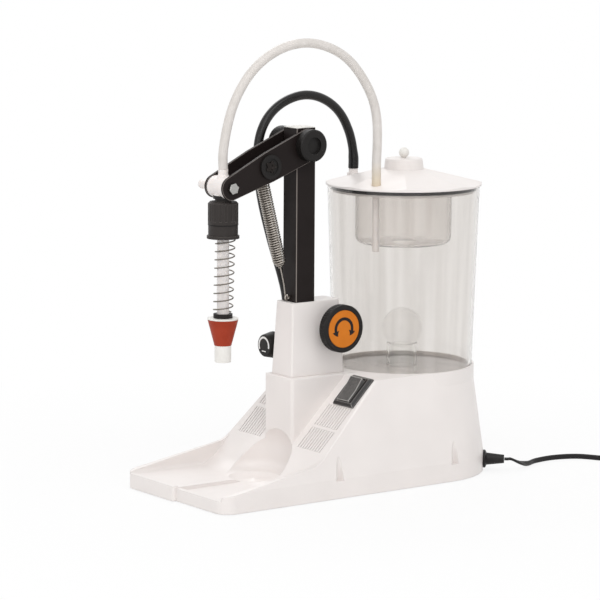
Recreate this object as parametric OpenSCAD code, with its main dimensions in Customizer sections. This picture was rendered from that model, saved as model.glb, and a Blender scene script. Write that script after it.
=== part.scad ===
// Tabletop vacuum filler for wine bottles, in millimetres.
// +X runs from the bottle tray to the overflow vessel, +Z is up.
// The origin is the middle of the base's footprint, on the table.

/* [Base] */
// Length of the base, tray included
base_l = 400; // [370:1:440]
// Width of the base
base_w = 184; // [176:1:200]
// Height of the deck and of the vessel's seat above the table
deck_h = 121; // [116:1:128]
// Wall of the moulded base
wall = 3; // [2:0.25:3.5]
// Height of the rubber feet below the base
foot_h = 1; // [0.5:0.25:3]
// Height of the upright skirt round the foot of the base
skirt_h = 22; // [20:1:28]
// How far the walls lean in from the skirt to the seat
lean_in = 12; // [8:0.5:13]
// Height of the tray's near floor
tray_floor_h = 12; // [11.5:0.25:14]
// How much higher the far half of the tray is
tray_step = 3.5; // [2:0.25:5]
// Width of the tray's side rims
tray_rim_w = 8; // [7:0.5:12]
// Radius of the tray's front corners
corner_r = 16; // [12:1:20]
// How far the near half of the tray's front is set back
front_set = 4; // [3.5:0.5:6]
// Rounding where the sloped faces meet the side walls
slope_edge_r = 4; // [2:0.5:8]

/* [Plinth and tower] */
// Width of the plinth nose under the tower
nose_w = 51; // [46:1:56]
// How far the nose stands in front of the column
nose_reach = 14.6; // [12:0.2:17]
// Height of the nose above the deck
nose_rise = 1; // [1:0.5:6]
// Radius of the scoop that lets a bottle stand close
scoop_r = 42; // [38:1:46]
// Height of the tower above the nose
tower_h = 80; // [72:1:90]
// Half width of the tower at its top
tower_top_half = 15; // [14.7:0.1:16]
// How much wider each side of the tower is at its foot
tower_flare = 3.8; // [2:0.1:5]

/* [Column and arm] */
// Side of the square column tube
column_side = 25; // [24:0.25:25.25]
// Wall of the column tube
column_wall = 2; // [1.75:0.25:3]
// Length of the column tube
column_len = 384; // [372:1:400]
// Distance of the column behind the middle of the base, towards the tray
column_back = 34.6; // [33:0.2:36]
// Drop of the arm's pivot below the column's top
pivot_drop = 18; // [18:0.5:22]
// Distance from the arm's pivot to the nozzle's pivot
arm_len = 107.5; // [102:0.5:118]
// Angle of the resting arm below level
arm_droop = 22.2; // [19:0.1:24]
// Thickness of an arm plate
plate_t = 3; // [2:0.25:4]
// Clear width between the arm plates
plate_gap = 28; // [27.6:0.2:29]
// Distance from the arm's pivot to the spring's pin
spring_arm = 54.7; // [52:0.1:60]
// Diameter of the pivot caps
cap_d = 34.6; // [30:0.2:36]
// Thickness of the near pivot cap
cap_t = 10; // [8:0.5:11]
// Thickness of the far pivot cap
far_cap_t = 18; // [10:0.5:18]

/* [Springs] */
// Outside diameter of the arm spring
arm_spring_od = 14.6; // [13:0.2:16]
// Wire of the arm spring
arm_spring_wire = 1.7; // [1.4:0.05:1.8]
// Pitch of the arm spring's curls
arm_spring_pitch = 2.3; // [2.25:0.05:2.6]
// Straight end of the arm spring, down to the eye
arm_spring_tail = 30; // [26:1:40]
// Outside diameter of the nozzle spring
nozzle_spring_od = 22; // [20:0.5:24]
// Wire of the nozzle spring
nozzle_spring_wire = 1.4; // [1.2:0.1:2]
// Curls of the nozzle spring
nozzle_spring_curls = 10; // [8:1:14]

/* [Nozzle] */
// Diameter of the tip that enters the bottle's mouth
tip_d = 17.7; // [17:0.1:18.5]
// Length of the tip below the cone
tip_l = 18; // [14:1:22]
// Large diameter of the sealing cone
cone_d = 32.5; // [30:0.5:36]
// Height of the sealing cone
cone_h = 27.9; // [22:0.1:30]
// Outside diameter of the fill tube
fill_tube_d = 13; // [12:0.25:13.5]
// Length of the nozzle spring between its seats
nozzle_spring_l = 80.8; // [70:0.2:90]
// Diameter of the grip nut
grip_d = 32.3; // [30:0.1:36]
// Height of the grip nut
grip_h = 24.5; // [22:0.5:30]
// Height of the collar under the grip nut
collar_h = 14.7; // [12:0.1:20]

/* [Vessel] */
// Outside radius of the vessel at its seat
vessel_foot_r = 77.3; // [75:0.1:77.5]
// Outside radius of the vessel at its rim
vessel_rim_r = 84; // [82:0.1:85]
// Height of the vessel
vessel_h = 207; // [195:1:220]
// Wall of the vessel
vessel_wall = 3; // [2:0.25:4]
// Depth of the seat that the vessel stands in
seat_depth = 8; // [6:0.5:10]
// Radius of the lid
lid_r = 86; // [85.5:0.25:88]
// Rise of the lid's eight sloped faces
lid_rise = 16; // [12:0.5:20]
// Radius of the hub on the lid
hub_r = 22; // [20:0.5:24]
// Radius of the splash cup under the lid
cup_r = 53; // [48:0.5:54]
// Height of the splash cup
cup_h = 61; // [50:1:70]
// Diameter of the float ball
ball_d = 44; // [40:1:48]

/* [Controls] */
// Diameter of the clamp knob
knob_d = 52; // [46:1:56]
// Thickness of the clamp knob
knob_t = 11; // [9:0.5:14]
// Diameter of the disc set into the clamp knob
disc_d = 40.8; // [36:0.2:44]
// Diameter of the regulator's knob
regulator_d = 29.6; // [26:0.2:32]
// Width of the switch
switch_w = 35; // [33:0.5:36]
// Length of the switch
switch_l = 40; // [39:0.5:41]
// Slots in each bank of vents
vent_slots = 10; // [6:1:12]
// Width of a vent slot
vent_slot_w = 1.4; // [1:0.1:2]

/* [Hoses and cord] */
// Diameter of the clear hose
clear_hose_d = 10; // [9:0.5:11]
// Diameter of the black hose
black_hose_d = 10; // [8:0.5:10]
// Width of the mains cord
cord_d = 5.5; // [5:0.1:6]
// Turns in each of the coil's two layers
coil_turns = 3.5; // [2.5:1:3.5]
// Clear gap between neighbouring turns of the coil
coil_gap = 0.8; // [0.6:0.1:1]

/* [Hidden] */
$fn = 96;
run_gap = 0.05;   // radial clearance of a turning fit
push_gap = 0.1;   // radial clearance round a pin that is pushed in
slide_gap = 0.3;  // clearance between pieces that slide or move past
hose_gap = 0.3;   // gap between the end of a hose and its port
cut = 1;          // how far a cutting shape runs past the face it opens
skim = 0.01;      // how far a rounding's arc dips past the faces it joins, for a clean edge

abs_white = "#E8E4E2";
black_steel = "#2B2727";
black_plastic = "#262424";
rocker_grey = "#3A3939";
bright_steel = "#B9BABC";
pump_grey = "#9A9C9F";
motor_grey = "#6F7275";
seal_red = "#A93A26";
disc_orange = "#E0801A";
clear_plastic = [0.85, 0.88, 0.88, 0.4];
cup_plastic = [0.95, 0.94, 0.92, 0.9];
milk_white = "#F2F0EC";

// Base outline
base_r = base_w / 2;
front_x = -base_l / 2;
rear_x = base_l / 2 - base_r;
seat_band = 16;                       // upright band of the seat under the deck
seat_r = base_r - lean_in;
lean = lean_in / (deck_h - seat_band - skirt_h);
deck_half = base_r - lean * (deck_h - skirt_h);
deck_x = 10.5;                        // where the 45 degree slopes reach the deck
deck_edge_r = 8;
slope_up = deck_h - deck_x;           // the slopes' plane lies this much higher than its X
low_share = 1 / 8;                    // a slope edge's rounding at its foot, as a share of its top
seat_room = 0.4;
side_more = 1.5;                      // how much thicker the side walls are
side_wall = wall + side_more;
plate_lift = 1;
bottom_t = 2.5;
plate_z = foot_h + plate_lift;
plate_top = plate_z + bottom_t;

// Tray
lip_t = 6;
lip_near = 2.5;
lip_far = 1.5;
lip_room = 12;                        // from the front to the hollow under the tray
step_y = -3;
tray_high = 70;
tray_fillet_r = 40;
rim_over = 0.6;                       // how far the rims' front ends stand over the far lip
rim_slope = 0.17;                     // rise of the rims for each millimetre along the tray
rim_front_h = tray_floor_h + tray_step + lip_far + rim_over;
rim_back_x = (rim_front_h - rim_slope * front_x - slope_up) / (1 - rim_slope);
rim_back_h = rim_back_x + slope_up;
rim_rise = atan(rim_slope);
rim_arc_r = 30;
rim_draft = 2.5;                      // how much further out the rims' inner faces are at the top
rim_fillet_r = 5;
front_edge_r = 3;
near_front = front_x + front_set;

// Column, nose and tower
column_lift = 1.5;
column_x = -column_back;
column_half = column_side / 2;
column_z = plate_top + column_lift;
column_top = column_z + column_len;
column_edge_r = 1.5;
nose_front = column_x - column_half - nose_reach;
nose_half = nose_w / 2;
nose_top = deck_h + nose_rise;
nose_gap = 4;                         // from the nose to the vessel
nose_rear = rear_x - vessel_foot_r - nose_gap;
nose_edge_r = 4;
nose_top_r = 2;
scoop_back = 31.5;                    // from the nose to the middle of the scoop
scoop_dip = 0.4;                      // how far the scoop's floor lies below the tray's far floor
scoop_floor = tray_floor_h + tray_step - scoop_dip;
scoop_fillet_r = 12;
dome_r = 30;
dome_z = 41;
channel_half = column_half + slide_gap;
channel_front = column_x - channel_half;
tower_top = nose_top + tower_h;
tower_wall = 6;
tower_front = channel_front - tower_wall;
tower_rear = 10;
tower_rear_flare = 5;
tower_r = 4;
tower_front_r = 2;
clamp_x = -2;
clamp_drop = 29;
clamp_z = tower_top - clamp_drop;
clamp_boss_r = 12;
shaft_r = 4;
shaft_skin = 1.5;                     // tower wall left in front of the shaft's far end
cam_r = 8;
cam_throw = 1.5;
cam_pocket = 10;
shoe_back = clamp_x - cam_r - cam_throw - slide_gap;
shoe_front = column_x + column_half + slide_gap;
shoe_h = 24;
shoe_room = 0.2;
shoe_w = 2 * (channel_half - shoe_room);
tower_half_at_clamp = tower_top_half + tower_flare * (tower_top - clamp_z) / tower_h;
shaft_far = tower_half_at_clamp - shaft_skin;
boss_end = -27;
knob_gap = 1;
knob_back = boss_end - knob_gap;
knob_face = knob_back - knob_t;
knob_floor = 2;                       // depth of the knob's recess for the disc
knob_skin = 4;

// Regulator beside the tower
reg_y = 33;
reg_drop = 52;
reg_z = tower_top - reg_drop;
reg_pad_y = 21;
reg_pad_r = 8;
reg_face_x = -57;
reg_knob_t = 13;
reg_body_r = 11;
reg_body_x0 = reg_face_x + reg_knob_t;
reg_body_x1 = -14;
reg_neck_r = 7;
reg_neck_h = 14;
reg_nipple_x = -27;
reg_nipple_r = 4;
reg_nipple_l = 22;
reg_nipple_top = reg_z + reg_nipple_l;
reg_spindle_r = 3;
reg_spindle_l = 9;

// Arm
pivot_z = column_top - pivot_drop;
pivot_r = 5;
bush_r = 9;
cap_skin = 4;
cap_dish_r = 9;
cap_dish = 3;
cap_edge = 1.5;
plate_in = plate_gap / 2;
plate_out = plate_in + plate_t;
tee_x = column_x - arm_len * cos(arm_droop);
tee_z = pivot_z - arm_len * sin(arm_droop);
pin_turn = 22;                        // the spring's pin lies this far below level, as seen from the pivot
pin_x = column_x - spring_arm * cos(pin_turn);
pin_z = pivot_z - spring_arm * sin(pin_turn);
pin_r = 3;
pin_head_r = 13;
pin_head_t = 2.5;
pin_dish_r = 9;
pin_dish = 1.1;
pin_over = 1;                         // how far the pin runs into its nut
eye_r = 3.2;
eye_wire = 1;
eye_stem_r = 1.9;
eye_lift = 4.5;
eye_z = tower_top + eye_lift;
eye_x = column_x - column_half - eye_r;
hook_room = 4.5;
hook_loop_r = pin_r + hook_room;
hook_shift = [-2.2, 0, -2.6];         // middle of the spring's loop, from the middle of its pin

// Nozzle, from the tee downwards
bolt_r = 3;
bolt_thread_r = 2.5;
bolt_stop = 4;                        // from the nozzle's middle to the end of the bolt's hole
inlet_r = 5;
inlet_bore_r = 3;
inlet_l = 23;
inlet_end = plate_out + inlet_l;
tee_r = 11.7;
tee_stub_r = 10;
tee_foot = tee_z - tee_r - slide_gap;
port_r = 5.3;
port_bore_r = 3.8;
port_bore_l = 5;
port_l = 19;
port_top = tee_z + port_l;
neck_r = 8.7;
neck_h = 3;
grip_top = tee_foot - neck_h;
collar_top = grip_top - grip_h;
collar_foot = collar_top - collar_h;
ring_r = 10.25;
ring_h = 4.5;
ring_top = collar_foot - nozzle_spring_l;
disc_t = 1.6;
cone_top = ring_top - ring_h - disc_t;
tip_top = cone_top - cone_h;
tip_foot = tip_top - tip_l;
tip_floor = 4;
tube_r = fill_tube_d / 2;
tube_wall = 1.5;
tube_bore = tube_r - tube_wall;
return_r = 2.6;
return_wall = 0.8;

// Vessel and lid
seat_z = deck_h - seat_depth;
vessel_floor = 5;
vessel_floor_z = seat_z + vessel_floor;
rim_z = seat_z + vessel_h;
rim_band = 14;                        // upright band under the vessel's rim
rim_bead = 0.4;
vessel_bore_r = vessel_rim_r - vessel_wall;
seal_h = 4;
seal_w = 4;
seal_r = vessel_bore_r - slide_gap;
spigot_l = 7;
spigot_t = 3;
spigot_r = seal_r - seal_w;
spigot_lip = 1.5;                     // how far the spigot's lip holds the seal
lid_z = rim_z;
lid_band = 1;
lid_wall = 3;
hub_z = lid_z + lid_band + lid_rise;
hub_h = 12;
hub_taper = 1.5;
hub_top_r = hub_r - hub_taper;
hub_edge = 1;
lid_facets = 8;
lid_turn = 9;
facet_k = 1 / cos(180 / lid_facets);
facet_over = 2;                       // how far the sloped faces run past the rim before they are trimmed
port_foot = 4;
port_boss_r = 7;
port_step = 5;
cup_drop = 4;
cup_top = rim_z - cup_drop;
cup_hold = 6;                         // how much of the cup's rim the lid's ring holds
cup_ring_h = cup_drop + cup_hold;
cup_wall = 2;
cup_round_r = 8;
cup_hole_r = 13;                      // hole in the cup's floor, which the float ball closes
black_port = [rear_x - 32, 50];
clear_port = [rear_x - 62, -31];
black_port_l = 15;
black_port_top = lid_z + black_port_l;
pipe_r = 3.75;
pipe_wall = 1.25;
pipe_top = lid_z + port_foot;
pipe_l = 71;
ball_seat_r = 14;
ball_seat_t = 3;
ball_seat_h = 25;
ball_r = ball_d / 2;
ball_gap = 0.2;
ball_z = vessel_floor_z + ball_seat_h + sqrt(ball_r * ball_r - ball_seat_r * ball_seat_r) + ball_gap;
vent_ball_r = 5.7;
vent_stem_r = 2.5;
vent_post_t = 4;
vent_stem_l = 6;
vent_ball_lift = 6;
vent_ball_z = hub_z + hub_h + vent_ball_lift;

// Switch on the near slope
switch_x = -3.5;
switch_inset = 33;                    // middle of the switch, from the side of the base
switch_y = switch_inset - base_r;
switch_h = 4.5;
switch_bevel = 3;
switch_depth = 16;
switch_floor = 2;
switch_rim_l = 2.4;
switch_rim_w = 3;
switch_room = 0.2;
rocker_w = 20;
rocker_l = 30;
rocker_tilt = 6;
rocker_room = 1.3;
rocker_sink = 7.5;                    // from the frame's face down to the rocker's axis
rocker_end = 3.2;                     // how far the rocker's ends stand over the frame
rocker_dip = 2;                       // how far its middle stands over the frame
rocker_foot = 3;
rocker_pin_r = 1.5;
rocker_pin_l = 2.6;
rocker_pin_room = 0.4;

// Pump inside the base
pump_x = 60;
pump_l = 56;
pump_w = 44;
pump_h = 46;
pump_lift = 6;
pump_z = plate_top + pump_lift;
pump_edge_r = 6;
motor_r = 20;
motor_l = 58;
motor_end_r = 6;
motor_end_l = 5;
pump_hose_r = 4;
pump_port_l = 6;
pump_port = [pump_x - pump_l / 2 - pump_port_l, 8, 46];
mount_r = 6;
mount_in = 8;

// Mains lead
gland_turn = -40;
gland_z = 13;
gland_l = 24;
gland_skim = 0.6;                     // how far the gland's flange starts inside the wall's curve
gland_foot_x = base_r - gland_skim;
gland_hole_r = 5;
gland_flange_r = 10;
gland_flange_t = 3;
gland_neck_r = 6.8;
gland_neck_x = 4.5;
gland_end_r = 4.7;
gland_stub_r = 4.8;
gland_stub_l = 7;
gland_stub_in = 6;

// Free routes, chosen by hand
clear_route = [[tee_x, 0, port_top + hose_gap], [tee_x, 0, 370], [-128.5, -2, 402], [-121, -4, 424],
               [-101, -7, 454], [-69, -11, 475], [-33, -16, 481], [4, -20, 469], [25, -23, 450],
               [44, -27, 417], [47.5, -30, 385], [clear_port.x, clear_port.y, 354],
               [clear_port.x, clear_port.y, pipe_top + hose_gap]];
black_route = [[reg_nipple_x, reg_y, reg_nipple_top + hose_gap], [-27, 33, 198], [-33, 33, 224],
               [-44, 33, 254], [-53, 33, 283], [-61, 33, 312], [-65, 34, 345], [-62, 37, 374.5],
               [-48, 42, 395.8], [-29, 44, 410.8], [6.3, 45, 420], [40, 46, 409.5], [61.4, 48, 389.7],
               [72.5, 49.5, 366], [black_port.x, black_port.y, 348],
               [black_port.x, black_port.y, black_port_top + hose_gap]];
hose_drop_x = 18;
hose_drop_y = 30;
hose_hole_room = 0.4;
inner_route = [[reg_body_x1 + hose_gap, reg_y, reg_z], [2, 33, reg_z - 1], [14, 32, reg_z - 9],
               [hose_drop_x, hose_drop_y, 128], [hose_drop_x, hose_drop_y, 104], [17, 26, 78], [12, 16, 56],
               [16, 9, 47], [pump_port.x - hose_gap, pump_port.y, pump_port.z]];
gland_way = [cos(gland_turn), sin(gland_turn), 0];
gland_out = [rear_x, 0, gland_z] + (gland_foot_x + gland_l) * gland_way;
cord_lead = 8;                        // straight end of the cord outside the gland
coil_x = 371;
coil_y = -152;
tie_t = 1;
tie_w = 8;
tie_room = 0.4;
coil_z = tie_t + tie_room + cord_d / 2;
cord_route = concat(
    [for (along = [hose_gap, cord_lead / 2, cord_lead]) gland_out + along * gland_way],
    [[215, -80, 7.5], [232, -73, 3.6], [252, -64, 3], [280, -62, 3], [306, -72, 3], [321, -94, 3],
     [329, -120, coil_z]]);

function unit(v) = v / norm(v);
function flat(p, u, w) = [p * u, p * w];
function last(list) = list[len(list) - 1];

// Takes the sharp edge from a to b off two faces with outward normals n1 and n2
module edge_round(a, b, n1, n2, r, past = 0) {
    d = unit(b - a);
    u = unit(n1);
    v = unit(n2);
    w = cross(d, u);
    c = -r * (u + v) / (1 + u * v);
    spots = [c, c + r * u, c + (r + cut) * u, cut * (u + v), c + (r + cut) * v, c + r * v];
    multmatrix([[u.x, w.x, d.x, a.x], [u.y, w.y, d.y, a.y], [u.z, w.z, d.z, a.z], [0, 0, 0, 1]])
        translate([0, 0, -past])
            linear_extrude(norm(b - a) + 2 * past)
                difference() {
                    polygon([for (p = spots) flat(p, u, w)]);
                    translate(flat(c, u, w)) circle(r + skim);
                }
}

// The same with a rounding that grows from radius ra at a to rb at b, and runs on past b
function taper_ring(o, u, v, r, n) =
    let (c = o - r * (u + v) / (1 + u * v), turn = acos(u * v))
        concat([o + cut * (u + v), c + (r + cut) * u],
               [for (k = [0 : n]) c + r * (sin(turn * (1 - k / n)) * u + sin(turn * k / n) * v) / sin(turn)],
               [c + (r + cut) * v]);
module edge_taper(a, b, n1, n2, ra, rb, past) {
    n = 8;
    m = n + 4;
    u = unit(n1);
    v = unit(n2);
    more = past / norm(b - a);
    end = b + more * (b - a);
    end_r = rb + more * (rb - ra);
    walls = [for (k = [0 : m - 1], h = [0, 1])
        let (j = (k + 1) % m) h == 0 ? [k, j, j + m] : [k, j + m, k + m]];
    caps = [for (k = [1 : m - 2], h = [0, 1]) h == 0 ? [0, k + 1, k] : [m, m + k, m + k + 1]];
    flip = cross(u, v) * (b - a) < 0;
    polyhedron(points = concat(taper_ring(a, u, v, ra, n), taper_ring(end, u, v, end_r, n)),
               faces = [for (f = concat(walls, caps)) flip ? [f[2], f[1], f[0]] : f]);
}

// Fills an inside corner at p, between edges that leave it at angles a1 and a2
module corner_fill(p, a1, a2, r) {
    half = (a2 - a1) / 2;
    reach = r / tan(half);
    middle = [cos(a1 + half), sin(a1 + half)];
    c = p + r / sin(half) * middle;
    difference() {
        polygon([p - cut * middle, p + reach * [cos(a1), sin(a1)], c, p + reach * [cos(a2), sin(a2)]]);
        translate(c) circle(r + skim);
    }
}

// A side view, drawn in X and Z, made solid across Y
module across(y0, y1) {
    translate([0, y1, 0]) rotate([90, 0, 0]) linear_extrude(y1 - y0) children();
}

// An end view, drawn in Y and Z, made solid along X
module along_x(x0, x1) {
    translate([x0, 0, 0]) rotate([90, 0, 90]) linear_extrude(x1 - x0) children();
}

// A cylinder along Y from y0 to y1
module rod_y(x, z, r, y0, y1) {
    translate([x, y0, z]) rotate([-90, 0, 0]) cylinder(r = r, h = y1 - y0);
}

// A cylinder along X from x0 to x1
module rod_x(y, z, r, x0, x1) {
    translate([x0, y, z]) rotate([0, 90, 0]) cylinder(r = r, h = x1 - x0);
}

// A cylinder on the nozzle's axis from z0 to z1
module nozzle_rod(r, z0, z1) {
    translate([tee_x, 0, z0]) cylinder(r = r, h = z1 - z0);
}

// A curve through the points p, with n steps between neighbours
function curve_at(a, b, c, d, t) =
    (2 * b + (c - a) * t + (2 * a - 5 * b + 4 * c - d) * t * t + (3 * b - a - 3 * c + d) * t * t * t) / 2;
function curve(p, n) = concat(
    [for (i = [0 : len(p) - 2], k = [0 : n - 1])
        curve_at(p[max(i - 1, 0)], p[i], p[i + 1], p[min(i + 2, len(p) - 1)], k / n)],
    [last(p)]);

// A tube of radius r along the points p
function heading(p, i) = unit(p[min(i + 1, len(p) - 1)] - p[max(i - 1, 0)]);
function square_to(v, t) = unit(v - (v * t) * t);
function sides_of(p, start) =
    [for (i = 0, s = square_to(start, heading(p, 0)); i < len(p);
          s = square_to(s, heading(p, min(i + 1, len(p) - 1))), i = i + 1) s];
module tube(p, r, n, start = [0, 0, 1]) {
    side = sides_of(p, start);
    rings = [for (i = [0 : len(p) - 1], k = [0 : n - 1])
        let (a = 360 * k / n, t = heading(p, i))
            p[i] + r * (cos(a) * side[i] + sin(a) * cross(t, side[i]))];
    m = len(p) - 1;
    walls = [for (i = [0 : m - 1], k = [0 : n - 1], h = [0, 1])
        let (a = i * n + k, b = i * n + (k + 1) % n)
            h == 0 ? [a, b + n, b] : [a, a + n, b + n]];
    caps = [for (k = [1 : n - 2], h = [0, 1]) h == 0 ? [0, k, k + 1] : [m * n, m * n + k + 1, m * n + k]];
    polyhedron(points = rings, faces = concat(walls, caps), convexity = 20);
}
curve_steps = 3;
hose_sides = 12;
cord_sides = 8;
wire_sides = 6;

// Base
module base_side_view() {
    polygon([[front_x, foot_h], [rear_x, foot_h], [rear_x, deck_h], [deck_x, deck_h],
             [rim_back_x, rim_back_h], [front_x, rim_front_h]]);
    corner_fill([rim_back_x, rim_back_h], 45, 180 + rim_rise, rim_arc_r);
}

module base_end_view(inset, top) {
    low = base_r - inset;
    high = base_r - lean * (top - skirt_h) - inset;
    polygon([[-low, 0], [low, 0], [low, skirt_h], [high, top], [-high, top], [-low, skirt_h]]);
}

module rear_body(inset, foot, top) {
    translate([rear_x, 0, 0])
        rotate_extrude()
            polygon([[0, foot], [base_r - inset, foot], [base_r - inset, skirt_h],
                     [seat_r - inset, deck_h - seat_band], [seat_r - inset, top], [0, top]]);
}

module front_body() {
    slope_n = [-1, 0, 1];
    arc_reach = rim_arc_r / tan((180 + rim_rise - 45) / 2) * sin(45);
    low_z = rim_back_h + arc_reach;
    low_y = base_r - lean * (low_z - skirt_h);
    difference() {
        intersection() {
            across(-base_r, base_r) base_side_view();
            along_x(front_x, rear_x) base_end_view(0, deck_h);
        }
        translate([front_x - cut, -base_r - cut, 0])
            cube([front_set + cut, base_r + step_y + cut, skirt_h]);
        edge_round([front_x, step_y, foot_h], [front_x, step_y, skirt_h],
                   [-1, 0, 0], [0, -1, 0], front_edge_r, 2 * cut);
        for (s = [-1, 1]) {
            corner_x = s < 0 ? near_front : front_x;
            edge_taper([rim_back_x + arc_reach, s * low_y, low_z], [deck_x, s * deck_half, deck_h],
                       slope_n, [0, s, lean], slope_edge_r * low_share, slope_edge_r, 2 * slope_edge_r);
            edge_round([corner_x, s * base_r, foot_h], [corner_x, s * base_r, skirt_h],
                       [-1, 0, 0], [0, s, 0], corner_r, 2 * cut);
        }
        edge_round([deck_x, -base_r, deck_h], [deck_x, base_r, deck_h], slope_n, [0, 0, 1], deck_edge_r, cut);
    }
}

// The space over one half of the tray, on side -1 or 1 of the step
module tray_half(side, floor_h, lip, front) {
    foot_x = floor_h - slope_up;
    foot_y = base_r - tray_rim_w;
    draft = rim_draft / (tray_high - floor_h);
    inner = side > 0 ? step_y - push_gap : -step_y;
    draft_turn = atan(draft);
    intersection() {
        across(-base_r, base_r)
            difference() {
                polygon([[front_x - cut, floor_h + lip], [front + lip_t, floor_h + lip],
                         [front + lip_t, floor_h], [foot_x, floor_h], [tray_high - slope_up, tray_high],
                         [front_x - cut, tray_high]]);
                corner_fill([foot_x, floor_h], 45, 180, tray_fillet_r);
            }
        along_x(front_x - 2 * cut, 0)
            difference() {
                polygon([[side * inner, floor_h - cut], [side * (foot_y - draft * cut), floor_h - cut],
                         [side * (foot_y + rim_draft + draft * cut), tray_high + cut],
                         [side * inner, tray_high + cut]]);
                corner_fill([side * foot_y, floor_h], side > 0 ? 90 - draft_turn : 0,
                            side > 0 ? 180 : 90 + draft_turn, rim_fillet_r);
            }
    }
}

module nose() {
    difference() {
        translate([nose_front, -nose_half, foot_h])
            cube([nose_rear - nose_front, nose_w, nose_top - foot_h]);
        for (s = [-1, 1]) {
            edge_round([nose_front, s * nose_half, foot_h], [nose_front, s * nose_half, nose_top],
                       [-1, 0, 0], [0, s, 0], nose_edge_r, cut);
            edge_round([nose_front, s * nose_half, nose_top], [nose_rear, s * nose_half, nose_top],
                       [0, s, 0], [0, 0, 1], nose_top_r, cut);
        }
        edge_round([nose_front, -nose_half, nose_top], [nose_front, nose_half, nose_top],
                   [-1, 0, 0], [0, 0, 1], nose_top_r, cut);
    }
}

// A bowl with a rounded foot, an upright wall and a domed top
module scoop(grow) {
    wide = scoop_r + grow;
    foot_x = scoop_r - scoop_fillet_r;
    foot_z = scoop_floor + scoop_fillet_r;
    top_x = scoop_r - dome_r;
    top = dome_z + dome_r + grow;
    translate([nose_front - scoop_back, 0, 0])
        rotate_extrude() {
            translate([0, scoop_floor - grow]) square([foot_x, dome_z - scoop_floor + grow]);
            translate([0, foot_z]) square([wide, dome_z - foot_z]);
            intersection() {
                translate([foot_x, foot_z]) circle(scoop_fillet_r + grow);
                translate([0, scoop_floor - grow]) square([wide, dome_z - scoop_floor + grow]);
            }
            intersection() {
                translate([top_x, dome_z]) circle(dome_r + grow);
                square([wide, top]);
            }
            translate([0, foot_z]) square([top_x, top - foot_z]);
        }
}

module base_cavity() {
    top = seat_z - wall;
    under = tray_floor_h - wall;
    drop = wall * sqrt(2);
    difference() {
        union() {
            intersection() {
                across(-base_r, base_r)
                    polygon([[front_x + lip_room, 0], [rear_x, 0], [rear_x, top],
                             [top - slope_up + drop, top], [under - slope_up + drop, under],
                             [front_x + lip_room, under]]);
                along_x(front_x, rear_x) base_end_view(side_wall, top);
            }
            rear_body(side_wall, 0, top);
            translate([nose_front + wall, wall - nose_half, 0])
                cube([nose_rear - nose_front - 2 * wall, nose_w - 2 * wall, nose_top - wall]);
        }
        scoop(wall);
    }
}

well_front = 11;
well_rear = 4;
well_xs = [column_x - well_front, rear_x + well_rear];
well_mid = 12;
well_out = 0.5;
screw_in = 8;
screw_spots = [for (x = well_xs, s = [-1, 1]) [x, s * (base_r - screw_in)]];

module screw_bosses() {
    boss_r = 9;
    boss_h = 44;
    boss_in = 6;
    boss_skin = 2;
    intersection() {
        for (x = well_xs, s = [-1, 1])
            translate([x, s * (base_r - boss_in), plate_top]) cylinder(r = boss_r, h = boss_h);
        union() {
            rear_body(cut, 0, deck_h - seat_band);
            intersection() {
                across(-base_r, base_r) translate([0, -boss_skin]) base_side_view();
                along_x(front_x, rear_x + cut) base_end_view(cut, deck_h);
            }
        }
    }
}

module screw_wells() {
    well_r = 5;
    well_top_r = 2.5;
    well_l = 26;
    well_drop = 2;
    pilot_r = 2;
    pilot_l = 12;
    for (x = well_xs, s = [-1, 1])
        translate([x, s * (base_r - lean * well_mid + well_out), skirt_h - well_drop])
            cylinder(r1 = well_r, r2 = well_top_r, h = well_l);
    for (p = screw_spots)
        translate([p.x, p.y, plate_top - cut]) cylinder(r = pilot_r, h = pilot_l);
}

module slope_place(x, y) {
    translate([x, y, x + slope_up]) rotate([0, -45, 0]) children();
}

// Banks of vent slots: side of the base, place of the bank's middle on the slope, length of the slots
vent_banks = [[-1, -51, 28], [-1, -28.5, 29], [1, -48.5, 35], [1, -22.5, 29]];
module vents() {
    bank_w = 39;
    bank_inset = 37;
    pitch = bank_w / (vent_slots - 1);
    for (b = vent_banks, k = [0 : vent_slots - 1])
        slope_place(b[1], b[0] * (base_r - bank_inset - bank_w / 2 + k * pitch))
            translate([-b[2] / 2, -vent_slot_w / 2, -wall - cut]) cube([b[2], vent_slot_w, wall + 3 * cut]);
}

module base_shell() color(abs_white) {
    difference() {
        union() {
            difference() {
                front_body();
                tray_half(-1, tray_floor_h, lip_near, near_front);
                tray_half(1, tray_floor_h + tray_step, lip_far, front_x);
            }
            rear_body(0, foot_h, deck_h);
            nose();
        }
        difference() {
            base_cavity();
            screw_bosses();
        }
        scoop(0);
        translate([rear_x, 0, seat_z]) cylinder(r = vessel_foot_r + seat_room, h = seat_depth + cut);
        screw_wells();
        vents();
        slope_place(switch_x, switch_y)
            translate([switch_rim_l - switch_l / 2, switch_rim_w - switch_w / 2, -switch_depth - cut])
                cube([switch_l - 2 * switch_rim_l, switch_w - 2 * switch_rim_w, switch_depth + 4 * cut]);
        translate([channel_front, -channel_half, nose_top - wall - cut])
            cube([2 * channel_half, 2 * channel_half, wall + 2 * cut]);
        translate([rear_x, 0, gland_z]) rotate([0, 90, gland_turn])
            cylinder(r = gland_hole_r, h = base_r + cut);
        translate([hose_drop_x, hose_drop_y, seat_z - wall - cut])
            cylinder(r = pump_hose_r + hose_hole_room, h = seat_depth + wall + 2 * cut);
    }
}

module bottom_outline(inset) {
    start = front_x + lip_room + slide_gap;
    translate([start, inset - base_r]) square([rear_x - start, 2 * (base_r - inset)]);
    translate([rear_x, 0]) circle(base_r - inset);
}

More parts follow.
